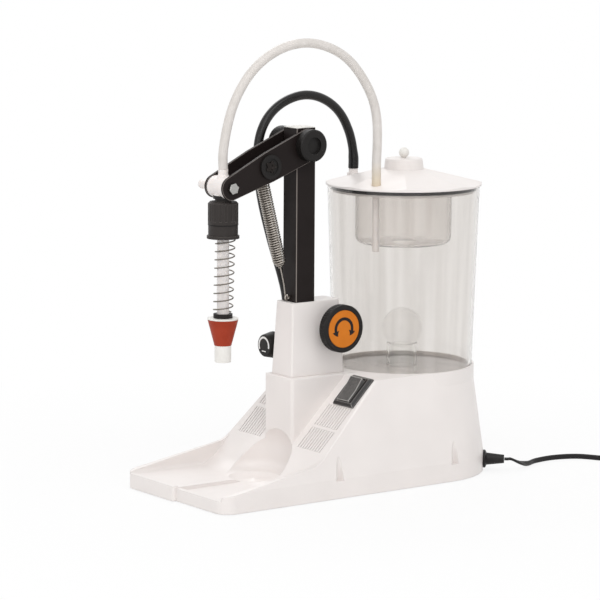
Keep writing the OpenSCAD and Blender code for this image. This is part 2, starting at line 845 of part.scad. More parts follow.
module bottom_plate() color(black_plastic) {
    hole_r = 2.1;
    difference() {
        translate([0, 0, plate_z]) linear_extrude(bottom_t) bottom_outline(side_wall + slide_gap);
        for (p = screw_spots)
            translate([p.x, p.y, plate_z - cut]) cylinder(r = hole_r, h = bottom_t + 2 * cut);
    }
}

module rubber_feet() color(black_plastic) {
    foot_r = 9;
    foot_edge = 1;
    foot_inset = 36;
    foot_rear = 42;
    for (x = [front_x + foot_inset, rear_x + foot_rear], s = [-1, 1])
        translate([x, s * (base_r - foot_inset), 0])
            rotate_extrude()
                polygon([[0, 0], [foot_r - foot_edge, 0], [foot_r, foot_edge], [foot_r, plate_z],
                         [0, plate_z]]);
}

module bottom_screws() color(bright_steel) {
    head_h = 0.9;
    head_r = 3.1;
    thread_r = 1.9;
    thread_l = 10;
    for (p = screw_spots)
        translate([p.x, p.y, plate_z - head_h]) {
            cylinder(r = head_r, h = head_h);
            cylinder(r = thread_r, h = head_h + thread_l);
        }
}

// Tower that guides the column
module column_tower() color(abs_white) {
    slice = 0.01;
    corner_fn = 32;
    top_half = tower_top_half - tower_r;
    foot_half = top_half + tower_flare;
    front_more = tower_r - tower_front_r;
    difference() {
        union() {
            hull()
                for (s = [-1, 1]) {
                    translate([tower_front - tower_flare + tower_front_r, s * (foot_half + front_more),
                               nose_top]) cylinder(r = tower_front_r, h = slice, $fn = corner_fn);
                    translate([tower_front + tower_front_r, s * (top_half + front_more), tower_top - slice])
                        cylinder(r = tower_front_r, h = slice, $fn = corner_fn);
                    translate([tower_rear + tower_rear_flare - tower_r, s * foot_half, nose_top])
                        cylinder(r = tower_r, h = slice, $fn = corner_fn);
                    translate([tower_rear - tower_r, s * top_half, tower_top - slice])
                        cylinder(r = tower_r, h = slice, $fn = corner_fn);
                }
            rod_y(clamp_x, clamp_z, clamp_boss_r, boss_end, -channel_half);
            rod_y(reg_nipple_x, reg_z, reg_pad_r, channel_half, reg_pad_y);
        }
        translate([channel_front, -channel_half, nose_top - cut])
            cube([2 * channel_half, 2 * channel_half, tower_h + 2 * cut]);
        translate([column_x, -channel_half, clamp_z - shoe_h / 2 - shoe_room])
            cube([clamp_x + cam_pocket - column_x, 2 * channel_half, shoe_h + 2 * shoe_room]);
        rod_y(clamp_x, clamp_z, shaft_r + run_gap, boss_end - cut, shaft_far);
    }
}

// Column and what it carries
module column_edges(z0, z1) {
    for (sx = [-1, 1], sy = [-1, 1]) {
        x = column_x + sx * column_half;
        y = sy * column_half;
        edge_round([x, y, z0], [x, y, z1], [sx, 0, 0], [0, sy, 0], column_edge_r, cut);
    }
}

module column_tube() color(black_steel) {
    bore = column_side - 2 * column_wall;
    eye_hole_r = eye_stem_r + push_gap;
    difference() {
        translate([column_x - column_half, -column_half, column_z])
            cube([column_side, column_side, column_len]);
        column_edges(column_z, column_top);
        translate([column_x - bore / 2, -bore / 2, column_z - cut]) cube([bore, bore, column_len + 2 * cut]);
        rod_y(column_x, pivot_z, pivot_r, -column_side, column_side);
        rod_x(0, eye_z, eye_hole_r, column_x - column_side, column_x);
    }
}

module column_cap() color(milk_white) {
    plug = column_side - 2 * column_wall;
    plug_l = 8;
    head_h = 1.8;
    crown_r = 95;
    translate([column_x - plug / 2, -plug / 2, column_top - plug_l]) cube([plug, plug, plug_l]);
    difference() {
        intersection() {
            translate([column_x - column_half, -column_half, column_top])
                cube([column_side, column_side, head_h]);
            translate([column_x, 0, column_top + head_h - crown_r]) sphere(r = crown_r);
        }
        column_edges(column_top, column_top + head_h);
    }
}

module spring_eye() color(bright_steel) {
    head_r = 3.5;
    head_t = 3;
    stem_over = 2;
    wall_x = column_x - column_half + column_wall;
    translate([eye_x, 0, eye_z]) rotate([90, 0, 0])
        rotate_extrude() translate([eye_r - eye_wire, 0]) circle(eye_wire);
    rod_x(0, eye_z, eye_stem_r, eye_x + eye_r - eye_wire, wall_x + stem_over);
    rod_x(0, eye_z, head_r, wall_x, wall_x + head_t);
}

function cap_reach(t) = plate_out + t - cap_skin;

module pivot_shaft() color(bright_steel) {
    rod_y(column_x, pivot_z, pivot_r - run_gap, -cap_reach(cap_t), cap_reach(far_cap_t));
}

module pivot_bushes() color(black_plastic) {
    bush_room = 0.2;
    for (s = [0, 180])
        translate([column_x, 0, pivot_z]) rotate([0, 0, s]) difference() {
            rod_y(0, 0, bush_r, column_half, plate_in - bush_room);
            rod_y(0, 0, pivot_r, 0, plate_in + cut);
        }
}

module pivot_cap(turn, t) {
    r = cap_d / 2;
    translate([column_x, 0, pivot_z]) rotate([0, 0, turn]) difference() {
        translate([0, plate_out + slide_gap, 0]) rotate([-90, 0, 0]) rotate_extrude()
            polygon([[0, 0], [r, 0], [r, t - cap_edge], [r - cap_edge, t], [0, t]]);
        rod_y(0, 0, pivot_r, 0, cap_reach(t));
        rod_y(0, 0, cap_dish_r, plate_out + t - cap_dish, plate_out + t + cut);
    }
}

module pivot_cap_near() color(black_plastic) pivot_cap(180, cap_t);

module pivot_cap_far() color(black_plastic) pivot_cap(0, far_cap_t);

// Arm
module arm_outline() {
    pivot_end = 17.5;
    nozzle_end = 12.5;
    pin_end = 16.5;
    hull() {
        translate([column_x, pivot_z]) circle(pivot_end);
        translate([pin_x, pin_z]) circle(pin_end);
    }
    hull() {
        translate([pin_x, pin_z]) circle(pin_end);
        translate([tee_x, tee_z]) circle(nozzle_end);
    }
}

module arm_plate(y0, tee_hole_r) {
    y1 = y0 + plate_t;
    difference() {
        across(y0, y1) arm_outline();
        rod_y(column_x, pivot_z, pivot_r, y0 - cut, y1 + cut);
        rod_y(pin_x, pin_z, pin_r + push_gap, y0 - cut, y1 + cut);
        rod_y(tee_x, tee_z, tee_hole_r + run_gap, y0 - cut, y1 + cut);
    }
}

module arm_plate_near() color(black_steel) arm_plate(-plate_out, bolt_r);

module arm_plate_far() color(black_steel) arm_plate(plate_in, inlet_r);

module spring_pin() color(black_plastic) {
    face = -plate_out - pin_head_t;
    difference() {
        rod_y(pin_x, pin_z, pin_head_r, face, -plate_out);
        rod_y(pin_x, pin_z, pin_dish_r, face - cut, face + pin_dish);
    }
    rod_y(pin_x, pin_z, pin_r, -plate_out - push_gap, plate_out + pin_over);
}

module spring_pin_nut() color(black_plastic) {
    face = plate_out + pin_head_t;
    difference() {
        rod_y(pin_x, pin_z, pin_head_r, plate_out, face);
        rod_y(pin_x, pin_z, pin_dish_r, face - pin_dish, face + cut);
        rod_y(pin_x, pin_z, pin_r + push_gap, plate_out - cut, plate_out + pin_over);
    }
}

// Arm spring: one wire, curled from near the pin down to the straight end in the eye
spring_top = [pin_x, 0, pin_z] + hook_shift;
spring_foot = [eye_x, 0, eye_z];
spring_dir = unit(spring_foot - spring_top);
spring_side = cross([0, 1, 0], spring_dir);
spring_mean_r = (arm_spring_od - arm_spring_wire) / 2;
spring_head = 13;
spring_reach = norm(spring_foot - spring_top) - spring_head - eye_r - hose_gap;
arm_spring_curls = floor((spring_reach - arm_spring_tail) / arm_spring_pitch);
spring_turn_l = arm_spring_curls * arm_spring_pitch;
tail_bend = 0.03;                     // share of the straight end in which the wire leaves the curls
curl_rings = 8;
function spring_point(along, r, turn) =
    spring_top + spring_dir * (spring_head + along) + r * (cos(turn) * spring_side + sin(turn) * [0, 1, 0]);
arm_spring_path = concat(
    [spring_point(0, 0, 0)],
    [for (i = [0 : arm_spring_curls * curl_rings])
        spring_point(arm_spring_pitch * i / curl_rings, spring_mean_r, 360 * i / curl_rings)],
    [for (a = [tail_bend, 1 / 2, 1]) spring_point(spring_turn_l + a * (spring_reach - spring_turn_l), 0, 0)]);

module arm_spring() color(bright_steel)
    tube(arm_spring_path, arm_spring_wire / 2, wire_sides, [0, 1, 0]);

// The spring's upper loop, which hangs from the pin
module spring_hook() color(bright_steel) {
    wire = arm_spring_wire / 2;
    stem = spring_head - hook_loop_r - wire - slide_gap;
    translate(spring_top) rotate([90, 0, 0]) rotate_extrude() translate([hook_loop_r, 0]) circle(wire);
    multmatrix([[spring_side.x, 0, spring_dir.x, spring_top.x],
                [spring_side.y, 1, spring_dir.y, spring_top.y],
                [spring_side.z, 0, spring_dir.z, spring_top.z], [0, 0, 0, 1]])
        translate([0, 0, hook_loop_r]) cylinder(r = wire, h = stem);
}

// Nozzle
module tee_body() color(milk_white) {
    bead = 0.6;
    bead_y = plate_out + 5;
    bead_l = 2;
    inlet_stop = 2;
    fillet_r = 8;
    fillet_z = tee_z + 8;
    fillet_h = 6;
    tube_seat = 13;
    port_wall_h = 4;
    difference() {
        union() {
            rod_y(tee_x, tee_z, tee_r, slide_gap - plate_in, plate_in - slide_gap);
            rod_y(tee_x, tee_z, inlet_r, 0, inlet_end);
            rod_y(tee_x, tee_z, inlet_r + bead, bead_y, bead_y + bead_l);
            nozzle_rod(tee_stub_r, tee_foot, tee_z);
            nozzle_rod(port_r, tee_z, port_top);
            translate([tee_x, 0, fillet_z]) cylinder(r1 = fillet_r, r2 = port_r, h = fillet_h);
        }
        rod_y(tee_x, tee_z, inlet_bore_r, inlet_stop, inlet_end + cut);
        rod_y(tee_x, tee_z, bolt_thread_r, -plate_in, -bolt_stop);
        nozzle_rod(tube_bore, tee_foot - cut, tee_foot + tube_seat);
        nozzle_rod(return_r + run_gap, tee_foot, port_top - port_wall_h);
        nozzle_rod(port_bore_r, port_top - port_bore_l, port_top + cut);
    }
}

module tee_bolt() color(bright_steel) {
    across_flats = 10;
    head_t = 4;
    washer_r = 7;
    washer_t = 1;
    end_room = 0.5;
    face = -plate_out - slide_gap;
    rod_y(tee_x, tee_z, bolt_r, face - push_gap, -plate_in + slide_gap);
    rod_y(tee_x, tee_z, bolt_thread_r - run_gap, -plate_in, -bolt_stop - end_room);
    translate([tee_x, face - head_t, tee_z]) rotate([-90, 0, 0])
        cylinder(r = across_flats / 2 / cos(30), h = head_t, $fn = 6);
    rod_y(tee_x, tee_z, washer_r, face - washer_t, face);
}

module grip_nut() color(black_plastic) {
    flutes = 16;
    flute_r = 2;
    flute_out = 1.4;
    flute_z = collar_top + 4;
    chamfer = 2;
    r = grip_d / 2;
    difference() {
        union() {
            translate([tee_x, 0, collar_top]) rotate_extrude()
                polygon([[0, 0], [r, 0], [r, grip_h - chamfer], [r - chamfer, grip_h], [0, grip_h]]);
            nozzle_rod(neck_r, grip_top, tee_foot);
        }
        for (k = [0 : flutes - 1])
            translate([tee_x, 0, flute_z]) rotate([0, 0, 360 * k / flutes])
                translate([r + flute_out, 0, 0]) cylinder(r = flute_r, h = grip_h);
        nozzle_rod(tube_r + run_gap, collar_top - cut, tee_foot + cut);
    }
}

module collar() color(black_plastic) {
    flange_h = 3;
    flange_w = 1.2;
    seam = 0.3;
    difference() {
        union() {
            nozzle_rod(grip_d / 2 - seam, collar_foot, collar_top);
            nozzle_rod(grip_d / 2 + flange_w, collar_foot, collar_foot + flange_h);
        }
        nozzle_rod(tube_r + run_gap, collar_foot - cut, collar_top + cut);
    }
}

module fill_tube() color(milk_white) {
    foot = tip_foot + tip_floor;
    difference() {
        nozzle_rod(tube_r, foot, tee_foot);
        nozzle_rod(tube_bore, foot - cut, tee_foot + cut);
    }
}

module return_tube() color(milk_white) {
    foot = tip_foot + 1;
    top = port_top - port_bore_l - 1;
    difference() {
        nozzle_rod(return_r, foot, top);
        nozzle_rod(return_r - return_wall, foot - cut, top + cut);
    }
}

module nozzle_tip() color(milk_white) {
    mouth_lip = 1;
    difference() {
        nozzle_rod(tip_d / 2, tip_foot, tip_top);
        nozzle_rod(tube_r + run_gap, tip_foot + tip_floor, tip_top + cut);
        nozzle_rod(tube_r - mouth_lip, tip_foot - cut, tip_foot + tip_floor + cut);
    }
}

nozzle_spring_r = (nozzle_spring_od - nozzle_spring_wire) / 2;
nozzle_spring_seat = 0.6 * nozzle_spring_wire;
nozzle_spring_path = [for (i = [0 : nozzle_spring_curls * curl_rings])
    let (t = i / curl_rings,
         up = nozzle_spring_seat + (nozzle_spring_l - 2 * nozzle_spring_seat) * t / nozzle_spring_curls)
        [tee_x + nozzle_spring_r * cos(360 * t), nozzle_spring_r * sin(360 * t), ring_top + up]];

module nozzle_spring() color(bright_steel) tube(nozzle_spring_path, nozzle_spring_wire / 2, wire_sides);

module cone_bore(z0, z1) {
    nozzle_rod(tube_r + slide_gap, z0 - cut, z1 + cut);
}

module cone_ring() color(black_plastic) {
    difference() {
        nozzle_rod(ring_r, ring_top - ring_h, ring_top);
        cone_bore(ring_top - ring_h, ring_top);
    }
}

module cone_disc() color(milk_white) {
    disc_over = 0.25;
    difference() {
        nozzle_rod(cone_d / 2 + disc_over, cone_top, cone_top + disc_t);
        cone_bore(cone_top, cone_top + disc_t);
    }
}

module seal_cone() color(seal_red) {
    cone_over = 0.3;
    band = 1;
    r = cone_d / 2;
    difference() {
        translate([tee_x, 0, tip_top]) rotate_extrude()
            polygon([[0, 0], [tip_d / 2 + cone_over, 0], [r, cone_h - band], [r, cone_h], [0, cone_h]]);
        cone_bore(tip_top, cone_top);
    }
}

// Vessel, lid and what hangs in them
module vessel() color(clear_plastic) {
    lift = rim_z - rim_band;
    bead_h = 2;
    seat_out = ball_seat_r + ball_seat_t;
    seat_top = vessel_floor_z + ball_seat_h;
    translate([rear_x, 0, 0]) rotate_extrude()
        polygon([[0, seat_z], [vessel_foot_r, seat_z], [vessel_rim_r - rim_bead, lift],
                 [vessel_rim_r, lift + bead_h], [vessel_rim_r, rim_z], [vessel_bore_r, rim_z],
                 [vessel_bore_r, lift], [vessel_foot_r - vessel_wall, vessel_floor_z],
                 [seat_out, vessel_floor_z], [seat_out, seat_top], [ball_seat_r, seat_top],
                 [ball_seat_r, vessel_floor_z], [0, vessel_floor_z]]);
}

module float_ball() color(clear_plastic) {
    translate([rear_x, 0, ball_z]) sphere(r = ball_r);
}

module lid_pyramid(foot_r, top_r, z0, z1) {
    translate([0, 0, z0]) rotate([0, 0, lid_turn])
        cylinder(r1 = foot_r, r2 = top_r, h = z1 - z0, $fn = lid_facets);
}

// A cylinder on a port's axis, in the lid's own place
module port_rod(spot, r, z0, z1) {
    translate([spot.x - rear_x, spot.y, z0]) cylinder(r = r, h = z1 - z0);
}

module lid_outside() {
    lip_top = rim_z - seal_h - push_gap;
    translate([0, 0, lid_z]) cylinder(r = lid_r, h = lid_band);
    intersection() {
        lid_pyramid((lid_r + facet_over) * facet_k, (hub_r + facet_over) * facet_k, lid_z + lid_band, hub_z);
        translate([0, 0, lid_z]) cylinder(r = lid_r, h = hub_z + cut - lid_z);
    }
    translate([0, 0, rim_z - spigot_l]) cylinder(r = spigot_r, h = spigot_l + lid_band);
    translate([0, 0, rim_z - spigot_l]) cylinder(r = spigot_r + spigot_lip, h = lip_top - rim_z + spigot_l);
    translate([0, 0, hub_z - lid_wall]) rotate_extrude()
        polygon([[0, 0], [hub_r, 0], [hub_r, lid_wall], [hub_top_r, hub_h + lid_wall - hub_edge],
                 [hub_top_r - hub_edge, hub_h + lid_wall], [0, hub_h + lid_wall]]);
    port_rod(black_port, black_hose_d / 2, pipe_top, black_port_top);
    port_rod(black_port, port_boss_r, pipe_top, black_port_top - port_step);
}

module lid_inside() {
    bore_r = spigot_r - spigot_t;
    post_r = vent_stem_r + vent_post_t;
    translate([0, 0, rim_z - spigot_l - cut]) cylinder(r = bore_r, h = spigot_l + cut);
    lid_pyramid(bore_r - cut, hub_r, lid_z - cut, hub_z - lid_wall);
    translate([0, 0, hub_z - lid_wall]) rotate_extrude()
        polygon([[post_r, -cut], [hub_r - lid_wall, -cut], [hub_top_r - lid_wall, hub_h - cut],
                 [post_r, hub_h - cut]]);
}

module lid() color(abs_white) {
    translate([rear_x, 0, 0]) difference() {
        union() {
            difference() {
                lid_outside();
                lid_inside();
            }
            translate([0, 0, cup_top]) difference() {
                cylinder(r = cup_r, h = cup_ring_h);
                translate([0, 0, -cut]) cylinder(r = cup_r - cup_wall, h = cup_ring_h + 2 * cut);
            }
        }
        translate([0, 0, lid_z]) cylinder(r = vent_stem_r + push_gap, h = vent_ball_z - lid_z);
        port_rod(black_port, pipe_r - pipe_wall, lid_z - cut, black_port_top + cut);
        port_rod(clear_port, pipe_r + run_gap, lid_z - cut, pipe_top + cut);
        port_rod(clear_port, clear_hose_d / 2 + slide_gap, pipe_top, hub_z);
    }
}

module lid_seal() color(black_plastic) {
    translate([rear_x, 0, rim_z - seal_h]) difference() {
        cylinder(r = seal_r, h = seal_h);
        translate([0, 0, -cut]) cylinder(r = spigot_r + run_gap, h = seal_h + 2 * cut);
    }
}

module cup_profile(r, h, round_r) {
    square([r - round_r, h]);
    translate([0, round_r]) square([r, h - round_r]);
    intersection() {
        translate([r - round_r, round_r]) circle(round_r);
        square([r, h]);
    }
}

module splash_cup() color(cup_plastic) {
    translate([rear_x, 0, cup_top - cup_h]) rotate_extrude()
        difference() {
            cup_profile(cup_r, cup_h, cup_round_r);
            translate([0, cup_wall]) cup_profile(cup_r - cup_wall, cup_h, cup_round_r - cup_wall);
            translate([-cut, -cut]) square([cup_hole_r + cut, cup_wall + 2 * cut]);
        }
}

module dip_pipe() color(milk_white) {
    translate([clear_port.x, clear_port.y, pipe_top - pipe_l]) difference() {
        cylinder(r = pipe_r, h = pipe_l);
        translate([0, 0, -cut]) cylinder(r = pipe_r - pipe_wall, h = pipe_l + 2 * cut);
    }
}

module vent_knob() color(milk_white) {
    translate([rear_x, 0, vent_ball_z]) sphere(r = vent_ball_r);
    translate([rear_x, 0, hub_z - vent_stem_l])
        cylinder(r = vent_stem_r, h = vent_ball_z - hub_z + vent_stem_l);
}

// Switch
function bevelled(half, h, bevel) =
    [[-half, 0], [half, 0], [half, h - bevel], [half - bevel, h], [bevel - half, h], [-half, h - bevel]];

module switch_frame() color(black_plastic) {
    half_l = switch_l / 2;
    half_w = switch_w / 2;
    body_l = half_l - switch_rim_l - switch_room;
    body_w = half_w - switch_rim_w - switch_room;
    slot_l = rocker_l / 2 + rocker_room;
    slot_w = rocker_w / 2 + slide_gap;
    pin_end = rocker_w / 2 + rocker_pin_l + rocker_pin_room;
    slope_place(switch_x, switch_y) difference() {
        union() {
            intersection() {
                across(-half_w, half_w) polygon(bevelled(half_l, switch_h, switch_bevel));
                along_x(-half_l, half_l) polygon(bevelled(half_w, switch_h, switch_bevel));
            }
            translate([-body_l, -body_w, -switch_depth]) cube([2 * body_l, 2 * body_w, switch_depth + cut]);
        }
        translate([-slot_l, -slot_w, switch_floor - switch_depth])
            cube([2 * slot_l, 2 * slot_w, switch_depth + switch_h]);
        rod_y(0, switch_h - rocker_sink, rocker_pin_r + run_gap, -pin_end, pin_end);
    }
}

module switch_rocker() color(rocker_grey) {
    half = rocker_l / 2;
    pin_end = rocker_w / 2 + rocker_pin_l;
    slope_place(switch_x, switch_y) translate([0, 0, switch_h - rocker_sink]) {
        rotate([0, -rocker_tilt, 0]) across(-rocker_w / 2, rocker_w / 2)
            polygon([[-half, rocker_sink + rocker_end], [0, rocker_sink + rocker_dip],
                     [half, rocker_sink + rocker_end], [half - rocker_foot, -rocker_foot],
                     [rocker_foot - half, -rocker_foot]]);
        rod_y(0, 0, rocker_pin_r, -pin_end, pin_end);
    }
}

// Pump inside the base
module pump_head() color(pump_grey) {
    x0 = pump_x - pump_l / 2;
    x1 = pump_x + pump_l / 2;
    top = pump_z + pump_h;
    difference() {
        translate([x0, -pump_w / 2, pump_z]) cube([pump_l, pump_w, pump_h]);
        for (s = [-1, 1])
            edge_round([x0, s * pump_w / 2, top], [x1, s * pump_w / 2, top],
                       [0, s, 0], [0, 0, 1], pump_edge_r, cut);
    }
    rod_x(pump_port.y, pump_port.z, pump_hose_r, pump_port.x, x0 + cut);
}

module pump_motor() color(motor_grey) {
    x0 = pump_x + pump_l / 2;
    x1 = x0 + motor_l;
    rod_x(0, pump_z + pump_h / 2, motor_r, x0, x1);
    rod_x(0, pump_z + pump_h / 2, motor_end_r, x1 - cut, x1 + motor_end_l);
}

module pump_mounts() color(black_plastic) {
    for (x = [-1, 1], y = [-1, 1])
        translate([pump_x + x * (pump_l / 2 - mount_in), y * (pump_w / 2 - mount_in), plate_top])
            cylinder(r = mount_r, h = pump_lift);
}

module pump_hose() color(black_plastic) tube(curve(inner_route, curve_steps), pump_hose_r, cord_sides);

// Vacuum regulator
module regulator_body() color(black_plastic) {
    difference() {
        union() {
            rod_x(reg_y, reg_z, reg_body_r, reg_body_x0 + slide_gap, reg_body_x1);
            rod_y(reg_nipple_x, reg_z, reg_neck_r, reg_pad_y, reg_y);
            translate([reg_nipple_x, reg_y, reg_z]) cylinder(r = reg_neck_r, h = reg_neck_h);
            translate([reg_nipple_x, reg_y, reg_z]) cylinder(r = reg_nipple_r, h = reg_nipple_top - reg_z);
        }
        rod_x(reg_y, reg_z, reg_spindle_r + run_gap, reg_body_x0 - cut, reg_body_x0 + reg_spindle_l + cut);
    }
}

module regulator_knob() color(black_plastic) {
    taper = 2.6;
    edge = 1;
    flutes = 14;
    flute_r = 1.5;
    flute_out = 0.6;
    flute_x = reg_face_x + 4;
    r = regulator_d / 2;
    difference() {
        union() {
            translate([reg_face_x, reg_y, reg_z]) rotate([0, 90, 0]) rotate_extrude()
                polygon([[0, 0], [r - taper - edge, 0], [r - taper, edge], [r, reg_knob_t], [0, reg_knob_t]]);
            rod_x(reg_y, reg_z, reg_spindle_r, reg_body_x0 - cut, reg_body_x0 + reg_spindle_l);
        }
        for (k = [0 : flutes - 1])
            translate([flute_x, reg_y, reg_z]) rotate([360 * k / flutes, 0, 0])
                translate([0, r + flute_out, 0]) rotate([0, 90, 0]) cylinder(r = flute_r, h = reg_knob_t);
    }
}

// Column clamp: the knob turns a cam that presses the shoe on the column
module brake_shoe() color(black_plastic) {
    translate([shoe_front, -shoe_w / 2, clamp_z - shoe_h / 2]) cube([shoe_back - shoe_front, shoe_w, shoe_h]);
}

module clamp_shaft() color(bright_steel) {
    end_room = 0.5;
    cam_half = channel_half - 1;
    rod_y(clamp_x, clamp_z, shaft_r, knob_face + knob_skin, shaft_far - end_room);
    rod_y(clamp_x - cam_throw, clamp_z, cam_r, -cam_half, cam_half);
}

module clamp_knob() color(black_plastic) {
    ribs = 60;
    rib_r = 0.9;
    rib_out = 0.35;
    edge = 1;
    disc_room = 0.5;
    r = knob_d / 2;
    recess_r = disc_d / 2 + disc_room;
    difference() {
        translate([clamp_x, knob_face, clamp_z]) rotate([-90, 0, 0]) rotate_extrude()
            polygon([[0, knob_floor], [recess_r, knob_floor], [recess_r, 0], [r - edge, 0], [r, edge],
                     [r, knob_t - edge], [r - edge, knob_t], [0, knob_t]]);
        rod_y(clamp_x, clamp_z, shaft_r + run_gap, knob_face + knob_skin, knob_back + cut);
        for (k = [0 : ribs - 1])
            translate([clamp_x, knob_face + 2 * edge, clamp_z]) rotate([0, 360 * k / ribs, 0])
                translate([r + rib_out, 0, 0]) rotate([-90, 0, 0]) cylinder(r = rib_r, h = knob_t);
    }
}

module clamp_knob_disc() color(disc_orange) {
    sunk = 0.4;
    rod_y(clamp_x, clamp_z, disc_d / 2, knob_face + sunk, knob_face + knob_floor);
}

// Hoses
module clear_hose() color(clear_plastic)
    tube(curve(clear_route, curve_steps), clear_hose_d / 2, hose_sides, [0, 1, 0]);

module black_hose() color(black_plastic)
    tube(curve(black_route, curve_steps), black_hose_d / 2, hose_sides, [0, 1, 0]);

// Mains lead
module mains_gland() color(black_plastic) {
    translate([rear_x, 0, gland_z]) rotate([0, 90, gland_turn]) {
        translate([0, 0, base_r - gland_stub_in]) cylinder(r = gland_stub_r, h = gland_stub_l);
        translate([0, 0, gland_foot_x]) rotate_extrude()
            polygon([[0, gland_skim], [gland_flange_r, gland_skim], [gland_flange_r, gland_flange_t],
                     [gland_neck_r, gland_neck_x], [gland_end_r, gland_l], [0, gland_l]]);
    }
}

coil_pitch = cord_d + coil_gap;
coil_outer = 41;
climb_turn = 0.5;                     // the turn that climbs a layer while the spiral reverses
coil_all = 2 * coil_turns + climb_turn;
coil_inner = coil_radius(coil_all / 2);
loop_rings = 24;
function coil_radius(t) = coil_outer - coil_pitch * min(t, coil_all - t);
function coil_climb(t) = coil_pitch * (1 - cos(180 * min(1, max(0, (t - coil_turns) / climb_turn)))) / 2;
function coil_point(t) = [coil_x - coil_radius(t) * cos(360 * t), coil_y - coil_radius(t) * sin(360 * t),
                          coil_z + coil_climb(t)];
coil_end = coil_point(coil_all);
tail_l = 30;
lead_x = 0.6;
lead_y = [26, 14];                    // straight start of the coil, from the coil's middle
coil_path = concat(
    [[last(cord_route).x + lead_x, coil_y + lead_y[0], coil_z],
     [coil_x - coil_outer, coil_y + lead_y[1], coil_z]],
    [for (i = [0 : loop_rings * coil_all]) coil_point(i / loop_rings)],
    [for (along = [tail_l / 2, tail_l - cord_d, tail_l]) coil_end + [0, along, 0]]);
coil_start = coil_path[0];
cord_stop = coil_start - hose_gap * unit(coil_start - last(cord_route));
cord_path = concat(curve(cord_route, curve_steps), [cord_stop]);

module mains_cord() color(black_plastic) tube(cord_path, cord_d / 2, cord_sides);

module cord_coil() color(black_plastic) tube(coil_path, cord_d / 2, wire_sides);

module coil_tie() color(black_plastic) {
    inner = coil_inner - cord_d / 2 - tie_room;
    outer = coil_outer + cord_d / 2 + tie_room;
    high = coil_z + coil_pitch + cord_d / 2 + tie_room;
    translate([coil_x - tie_w / 2, coil_y - outer - tie_t, 0]) difference() {
        cube([tie_w, outer - inner + 2 * tie_t, high + tie_t]);
        translate([-cut, tie_t, tie_t]) cube([tie_w + 2 * cut, outer - inner, high - tie_t]);
    }
}

module mains_plug() color(black_plastic) {
    plug_w = 26;
    plug_room = 0.2;
    plug_t = 2 * (coil_end.z - plug_room);
    plug_l = 36;
    sleeve_l = 12;
    sleeve_t = 1;
    sleeve_end_r = 7;
    body_y = 10;
    pin_gap = 18.6;
    blade_r = 2;
    blade_l = 20;
    translate(coil_end + [0, tail_l, 0]) {
        rotate([-90, 0, 0]) cylinder(r1 = cord_d / 2 + sleeve_t, r2 = sleeve_end_r, h = sleeve_l);
        translate([-plug_w / 2, body_y, -plug_t / 2]) cube([plug_w, plug_l, plug_t]);
        for (s = [-1, 1])
            translate([s * pin_gap / 2, body_y + plug_l - cut, 0]) rotate([-90, 0, 0])
                cylinder(r = blade_r, h = blade_l);
    }
}

base_shell();
bottom_plate();
rubber_feet();
bottom_screws();
column_tower();
switch_frame();
switch_rocker();
pump_motor();
pump_head();
pump_mounts();
pump_hose();
regulator_body();
regulator_knob();
brake_shoe();
clamp_shaft();
clamp_knob();
clamp_knob_disc();
column_tube();
column_cap();
spring_eye();
pivot_shaft();
pivot_bushes();
pivot_cap_near();
pivot_cap_far();
arm_plate_near();
arm_plate_far();
spring_pin();
spring_pin_nut();
arm_spring();
spring_hook();
tee_body();
tee_bolt();
grip_nut();
collar();
fill_tube();
return_tube();
nozzle_tip();
nozzle_spring();
cone_ring();
cone_disc();
seal_cone();
vessel();
float_ball();
lid();
lid_seal();
splash_cup();
dip_pipe();
vent_knob();
clear_hose();
black_hose();
mains_gland();
mains_cord();
cord_coil();
coil_tie();
mains_plug();
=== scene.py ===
# %% [markdown]
# # A tabletop wine bottle filler
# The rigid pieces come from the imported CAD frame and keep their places. This lesson adds what a solid
# modeller leaves plain: the hoses, the springs, the mains lead, small printed marks, and the finish of every
# surface.

# %% Load the frame
import math

import bmesh
import bpy
import numpy as np
from mathutils import Matrix, Vector


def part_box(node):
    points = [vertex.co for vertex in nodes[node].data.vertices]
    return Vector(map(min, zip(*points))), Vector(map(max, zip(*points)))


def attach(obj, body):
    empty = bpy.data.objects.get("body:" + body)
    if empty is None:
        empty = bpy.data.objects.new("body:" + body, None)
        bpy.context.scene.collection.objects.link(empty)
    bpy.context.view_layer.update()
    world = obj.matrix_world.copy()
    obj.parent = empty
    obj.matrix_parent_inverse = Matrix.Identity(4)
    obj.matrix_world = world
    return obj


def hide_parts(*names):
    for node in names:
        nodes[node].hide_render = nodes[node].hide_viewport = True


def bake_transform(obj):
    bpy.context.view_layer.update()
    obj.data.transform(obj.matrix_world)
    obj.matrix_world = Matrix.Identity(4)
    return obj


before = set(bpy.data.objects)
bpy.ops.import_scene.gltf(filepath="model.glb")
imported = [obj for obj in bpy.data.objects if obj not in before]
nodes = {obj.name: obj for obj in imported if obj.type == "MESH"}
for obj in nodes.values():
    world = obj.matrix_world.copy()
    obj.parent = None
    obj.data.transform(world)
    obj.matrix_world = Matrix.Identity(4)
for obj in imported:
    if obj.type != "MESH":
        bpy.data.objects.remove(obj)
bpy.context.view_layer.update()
scene = bpy.context.scene
scene.view_settings.view_transform = "Standard"
MM = 0.001

# %% [markdown]
# ## Camera
# The photograph was taken with a long lens from the side of the clamp knob, a little above the table. A long
# lens far away keeps upright edges almost parallel. Its place, aim and roll were worked out from where the
# corners of the base lie in the picture.

# %% Camera
CAMERA_PLACE = Vector((-1.9359, -2.6024, 0.6882))
CAMERA_TARGET = Vector((-0.03278, 0, 0.20238))
CAMERA_LENS_MM, CAMERA_SENSOR_MM, CAMERA_ROLL_DEG = 180.8, 36, 0.333

